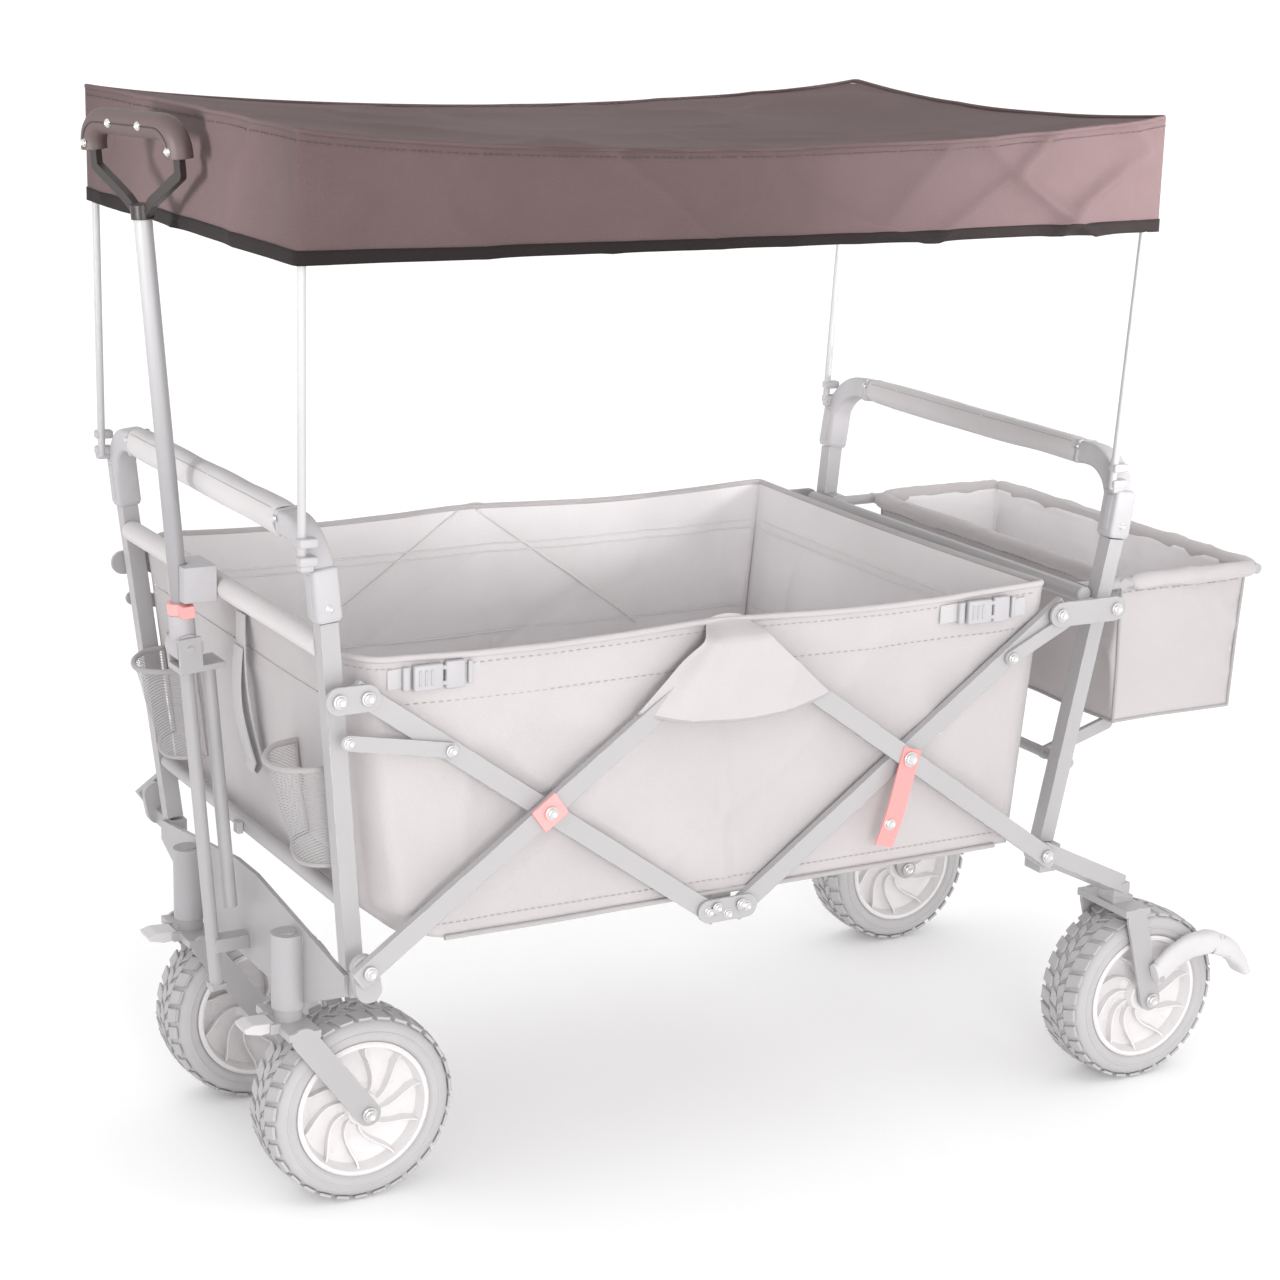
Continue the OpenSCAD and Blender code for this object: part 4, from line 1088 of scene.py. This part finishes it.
# ---------------------------------------------------------------- pedals
def make_rear_pedals():
    x0, z0 = REAR + 180, 130
    line = [(-6, 4), (0, 6), (18, 20), (42, 31), (66, 34), (88, 25), (104, 8), (112, -6)]
    for word, side in SIDES:
        def place(s, t, side=side):
            at = s * (len(line) - 1)
            i = min(len(line) - 2, int(at))
            a, b = Vector(line[i]), Vector(line[i + 1])
            here = a.lerp(b, at - i)
            ahead = (b - a).normalized()
            turn = 2 * math.pi * t
            wide = 6.6 + 9 * eased((s - 0.3) / 0.5)
            tall = 11.5 + 2.5 * math.sin(math.pi * min(1, s * 1.3))
            tall -= 6.0 * eased((s - 0.66) / 0.34)
            up = Vector((-ahead.y, ahead.x))
            push = Vector((math.cos(turn), math.sin(turn)))
            squared = max(abs(push.x), abs(push.y)) ** -0.55
            offset = up * push.y * tall * squared
            y = 293.5 + push.x * wide * squared + 8.5 * eased((s - 0.3) / 0.5)
            return Vector((x0 + here.x + offset.x, side * y, z0 + here.y + offset.y))

        body = "rear_pedal_" + word
        piece("brake_lever_" + word, sealed(grid(44, 20, place)), body, pedal_plastic,
              (body,), sharp=45)
        ribs = [block((x0 + 72 + 6 * i, side * 302 - 10, z0 + 39 - 1.6 * i * i),
                      (x0 + 74.5 + 6 * i, side * 302 + 10, z0 + 43 - 1.6 * i * i), 0.6, 1)
                for i in range(4)]
        piece("brake_grips_" + word, gathered(ribs), body, pedal_plastic)


make_rear_pedals()


# ---------------------------------------------------------------- red parts, bolts and caps
def make_fold_strap():
    top, low = Vector((REACH * 3 + GAP, 0, MID)), Vector((REACH * 3 + GAP - 24, 0, MID - 80))
    ahead = (low - top).normalized()
    across = Vector((-ahead.z, 0, ahead.x))
    run = [top - ahead * 11 + (low + ahead * 11 - top + ahead * 11) * i / 12
           - ACROSS * (SKIN + 1.6 + 5 * math.sin(math.pi * i / 12) * (i / 12)) for i in range(13)]
    piece("fold_strap_webbing", strap(run, 22, across, 1.8, 6), "arm_d", red_webbing,
          ("fold_strap",), sharp=60)
    studs = [bolt(top - ACROSS * (SKIN + 3), -ACROSS, 6.5, 2.6),
             bolt(low + Vector((2, -(SKIN + 3.5), 14)), -ACROSS, 5.6, 2.4)]
    piece("fold_strap_stud", gathered(studs), "arm_d", zinc)


make_fold_strap()


def make_bolts():
    rows = (
        ("foot_bolts_front", "front_frame", 5.4, [(0, 309.4, LOW)]),
        ("cross_bolts_front", "arm_b", 5.4, [(REACH, 312.4, MID)]),
        ("slide_bolts_front", "front_slider", 5.4, [(0, 303.5, HIGH), (-28, 303.5, HIGH)]),
        ("slide_bolts_rear", "rear_slider", 5.4, [(REAR, 307.5, HIGH), (REAR + 72, 307.5, HIGH)]),
        ("link_bolts_front", "front_link", 4.6, [(84.6, 303.5, 509.5), (-18, 301, 529)]),
        ("link_bolts_rear", "rear_link", 4.6, [(730.25, 303.5, 528.7)]),
        ("base_bolts", "base_bracket", 4.4, [(BASE_PINS[0], 301, LOW), (BASE_PINS[1], 301, LOW),
                                             (380, 303.6, 308), (394, 301, 299), (408, 303.6, 308)]),
        ("foot_bolts_rear", "rear_frame", 5.4, [(REAR, 309.4, LOW)]),
    )
    low, high = box_of("rear_upper_rail")
    end = ((low.x + high.x) / 2, high.y - 1.2, (low.z + high.z) / 2)
    plug = drum(end, ACROSS, (high.x - low.x) / 2 - 0.5, 2.4)
    piece("rail_plugs", twinned(plug), "rear_frame", black_nylon)
    for name, body, radius, spots in rows:
        heads = [bolt(at, ACROSS, radius, 2.4) for at in spots]
        piece(name, twinned(gathered(heads)), body, zinc)

    def axle_ends(x, y):
        return gathered([bolt((x, y + s * AXLE_END, AXLE_Z), ACROSS * s, 6.4, 3.2) for s in (-1, 1)])

    piece("axle_bolts_rear", twinned(axle_ends(REAR_AXLE, REAR_TRACK)), "rear_frame", zinc)
    for word, side in SIDES:
        piece("axle_bolts_" + word, axle_ends(FRONT_AXLE, side * FRONT_TRACK), "caster_" + word,
              zinc)


make_bolts()


def make_bar_caps():
    """Moulded plugs in the open ends of the scissor bars."""
    fore, aft = BASE_PINS
    bars = (("arm_a", (0, HIGH), (fore, LOW), INNER_LAYER),
            ("arm_b", (0, LOW), (fore, HIGH), OUTER_LAYER),
            ("arm_c", (aft, LOW), (REAR, HIGH), INNER_LAYER),
            ("arm_d", (aft, HIGH), (REAR, LOW), OUTER_LAYER))
    for body, a, b, y in bars:
        a, b = Vector((a[0], 0, a[1])), Vector((b[0], 0, b[1]))
        plugs = []
        for end, other in ((a, b), (b, a)):
            out = (end - other).normalized()
            turn = Matrix.Rotation(-math.atan2(out.z, out.x), 4, "Y")
            plug = block((11.6, -4.8, -10.4), (14.2, 4.8, 10.4), 1.2)
            plugs.append(moved(plug, Matrix.Translation(end + ACROSS * (y + 4.5)) @ turn))
        piece("end_plugs_" + body, twinned(gathered(plugs)), body, black_nylon)


make_bar_caps()


# ---------------------------------------------------------------- pull handle
HANDLE = Matrix.Translation((-67, 0, 553)) @ Matrix.Rotation(-math.radians(4.6), 4, "Y")
GRIP = HANDLE @ Matrix.Rotation(math.radians(13), 4, "Z")


def make_grip():
    top, half, drop = 515, 75, 28
    bend = (math.pi / 2 * i / 6 for i in range(7))
    line = [Vector((0, -half, top - drop))]
    line += [Vector((0, -half + 24 - 24 * math.cos(a), top - 24 + 24 * math.sin(a))) for a in bend]
    line += [Vector((0, y, top)) for y in (-30, -10, 10, 30)]
    line += [Vector((0, -p.y, p.z)) for p in reversed(line[:8])]
    piece("grip_body", moved(strand(line, 12.6, sides=8), GRIP), "handle",
          grip_rubber, ("handle_grip",), sharp=50)
    seams = [strand([p + AHEAD * s * 12.4 for p in line[1:-1]], 0.8) for s in (-1, 1)]
    piece("grip_parting", moved(gathered(seams), GRIP), "handle", dark_enamel)
    spots = [(-12.2, y, top) for y in (-26, 26)] + [(-11.8, y, top - 21) for y in (-73, 73)]
    heads = moved(gathered([bolt(at, -AHEAD, 3.4, 1.6) for at in spots]), GRIP)
    piece("grip_bolts", heads, "handle", zinc)


make_grip()

# ---------------------------------------------------------------- carried-over parts
KEPT = {
    frame_enamel: ("front_posts", "front_push_bar", "front_lower_rail", "front_feet", "caster_beam", "handle_column",
                   "scissor_a", "scissor_b", "scissor_c", "scissor_d", "top_brackets", "base_brackets",
                   "front_slide_brackets", "rear_slide_brackets", "front_links", "rear_links", "rear_posts",
                   "rear_push_bar", "rear_upper_rail", "rear_legs", "rear_forks", "rear_basket_frame",
                   "rear_basket_struts", "caster_fork_near", "caster_fork_far"),
    pole_enamel: ("front_poles", "rear_poles"),
    black_nylon: ("latch_block", "handle_joint"),
    rail_cloth: ("front_upper_rail",),
    red_plastic: ("pivot_plates", "handle_latch"),
    pedal_plastic: ("caster_pedal_near", "caster_pedal_far"),
    handle_enamel: ("handle_tube",),
    dark_enamel: ("handle_yoke",),
}
for finish, nodes in KEPT.items():
    for node in nodes:
        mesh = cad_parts[node].data
        mesh.materials.clear()
        mesh.materials.append(finish)


# ---------------------------------------------------------------- studio
def put_studio():
    shape = bmesh.new()
    bmesh.ops.create_grid(shape, x_segments=1, y_segments=1, size=14)
    mesh = bpy.data.meshes.new("floor")
    shape.to_mesh(mesh)
    shape.free()
    floor = added("floor", mesh)
    pale = Mixer("studio_floor", {"Base Color": (0.97, 0.97, 0.97, 1), "Roughness": 0.9,
                                  "Specular IOR Level": 0.1, "Emission Color": (1, 1, 1, 1),
                                  "Emission Strength": 0.06})
    mesh.materials.append(pale.material)
    world = bpy.data.worlds.new("studio")
    world.use_nodes = True
    sky = world.node_tree.nodes["Background"].inputs
    sky[0].default_value, sky[1].default_value = (1, 1, 1, 1), 1.1
    bpy.context.scene.world = world
    lamps = (("roof_right", (0.95, -1.75, 1.02), (0.37, -0.29, 1.02), 0.3, 1.9, 26),
             ("roof_front", (-2.0, -0.6, 1.05), (-0.55, 0.0, 1.02), 0.35, 0.95, 26),
             ("key", (2.2, -2.7, 1.3), (0.3, -0.2, 0.5), 1.6, 2, 180),
             ("fill", (-0.9, -3.4, 0.98), (0.0, 0.2, 0.5), 1.2, 45, 180))
    for name, at, aim, size, power, spread in lamps:
        data = bpy.data.lights.new(name, "AREA")
        data.shape, data.size, data.energy, data.spread = "SQUARE", size, power, math.radians(spread)
        lamp = added(name, data)
        turn = (Vector(aim) - Vector(at)).to_track_quat("-Z", "Y")
        lamp.matrix_world = Matrix.Translation(at) @ turn.to_matrix().to_4x4()
    bpy.context.scene.view_settings.view_transform = "Standard"


put_studio()
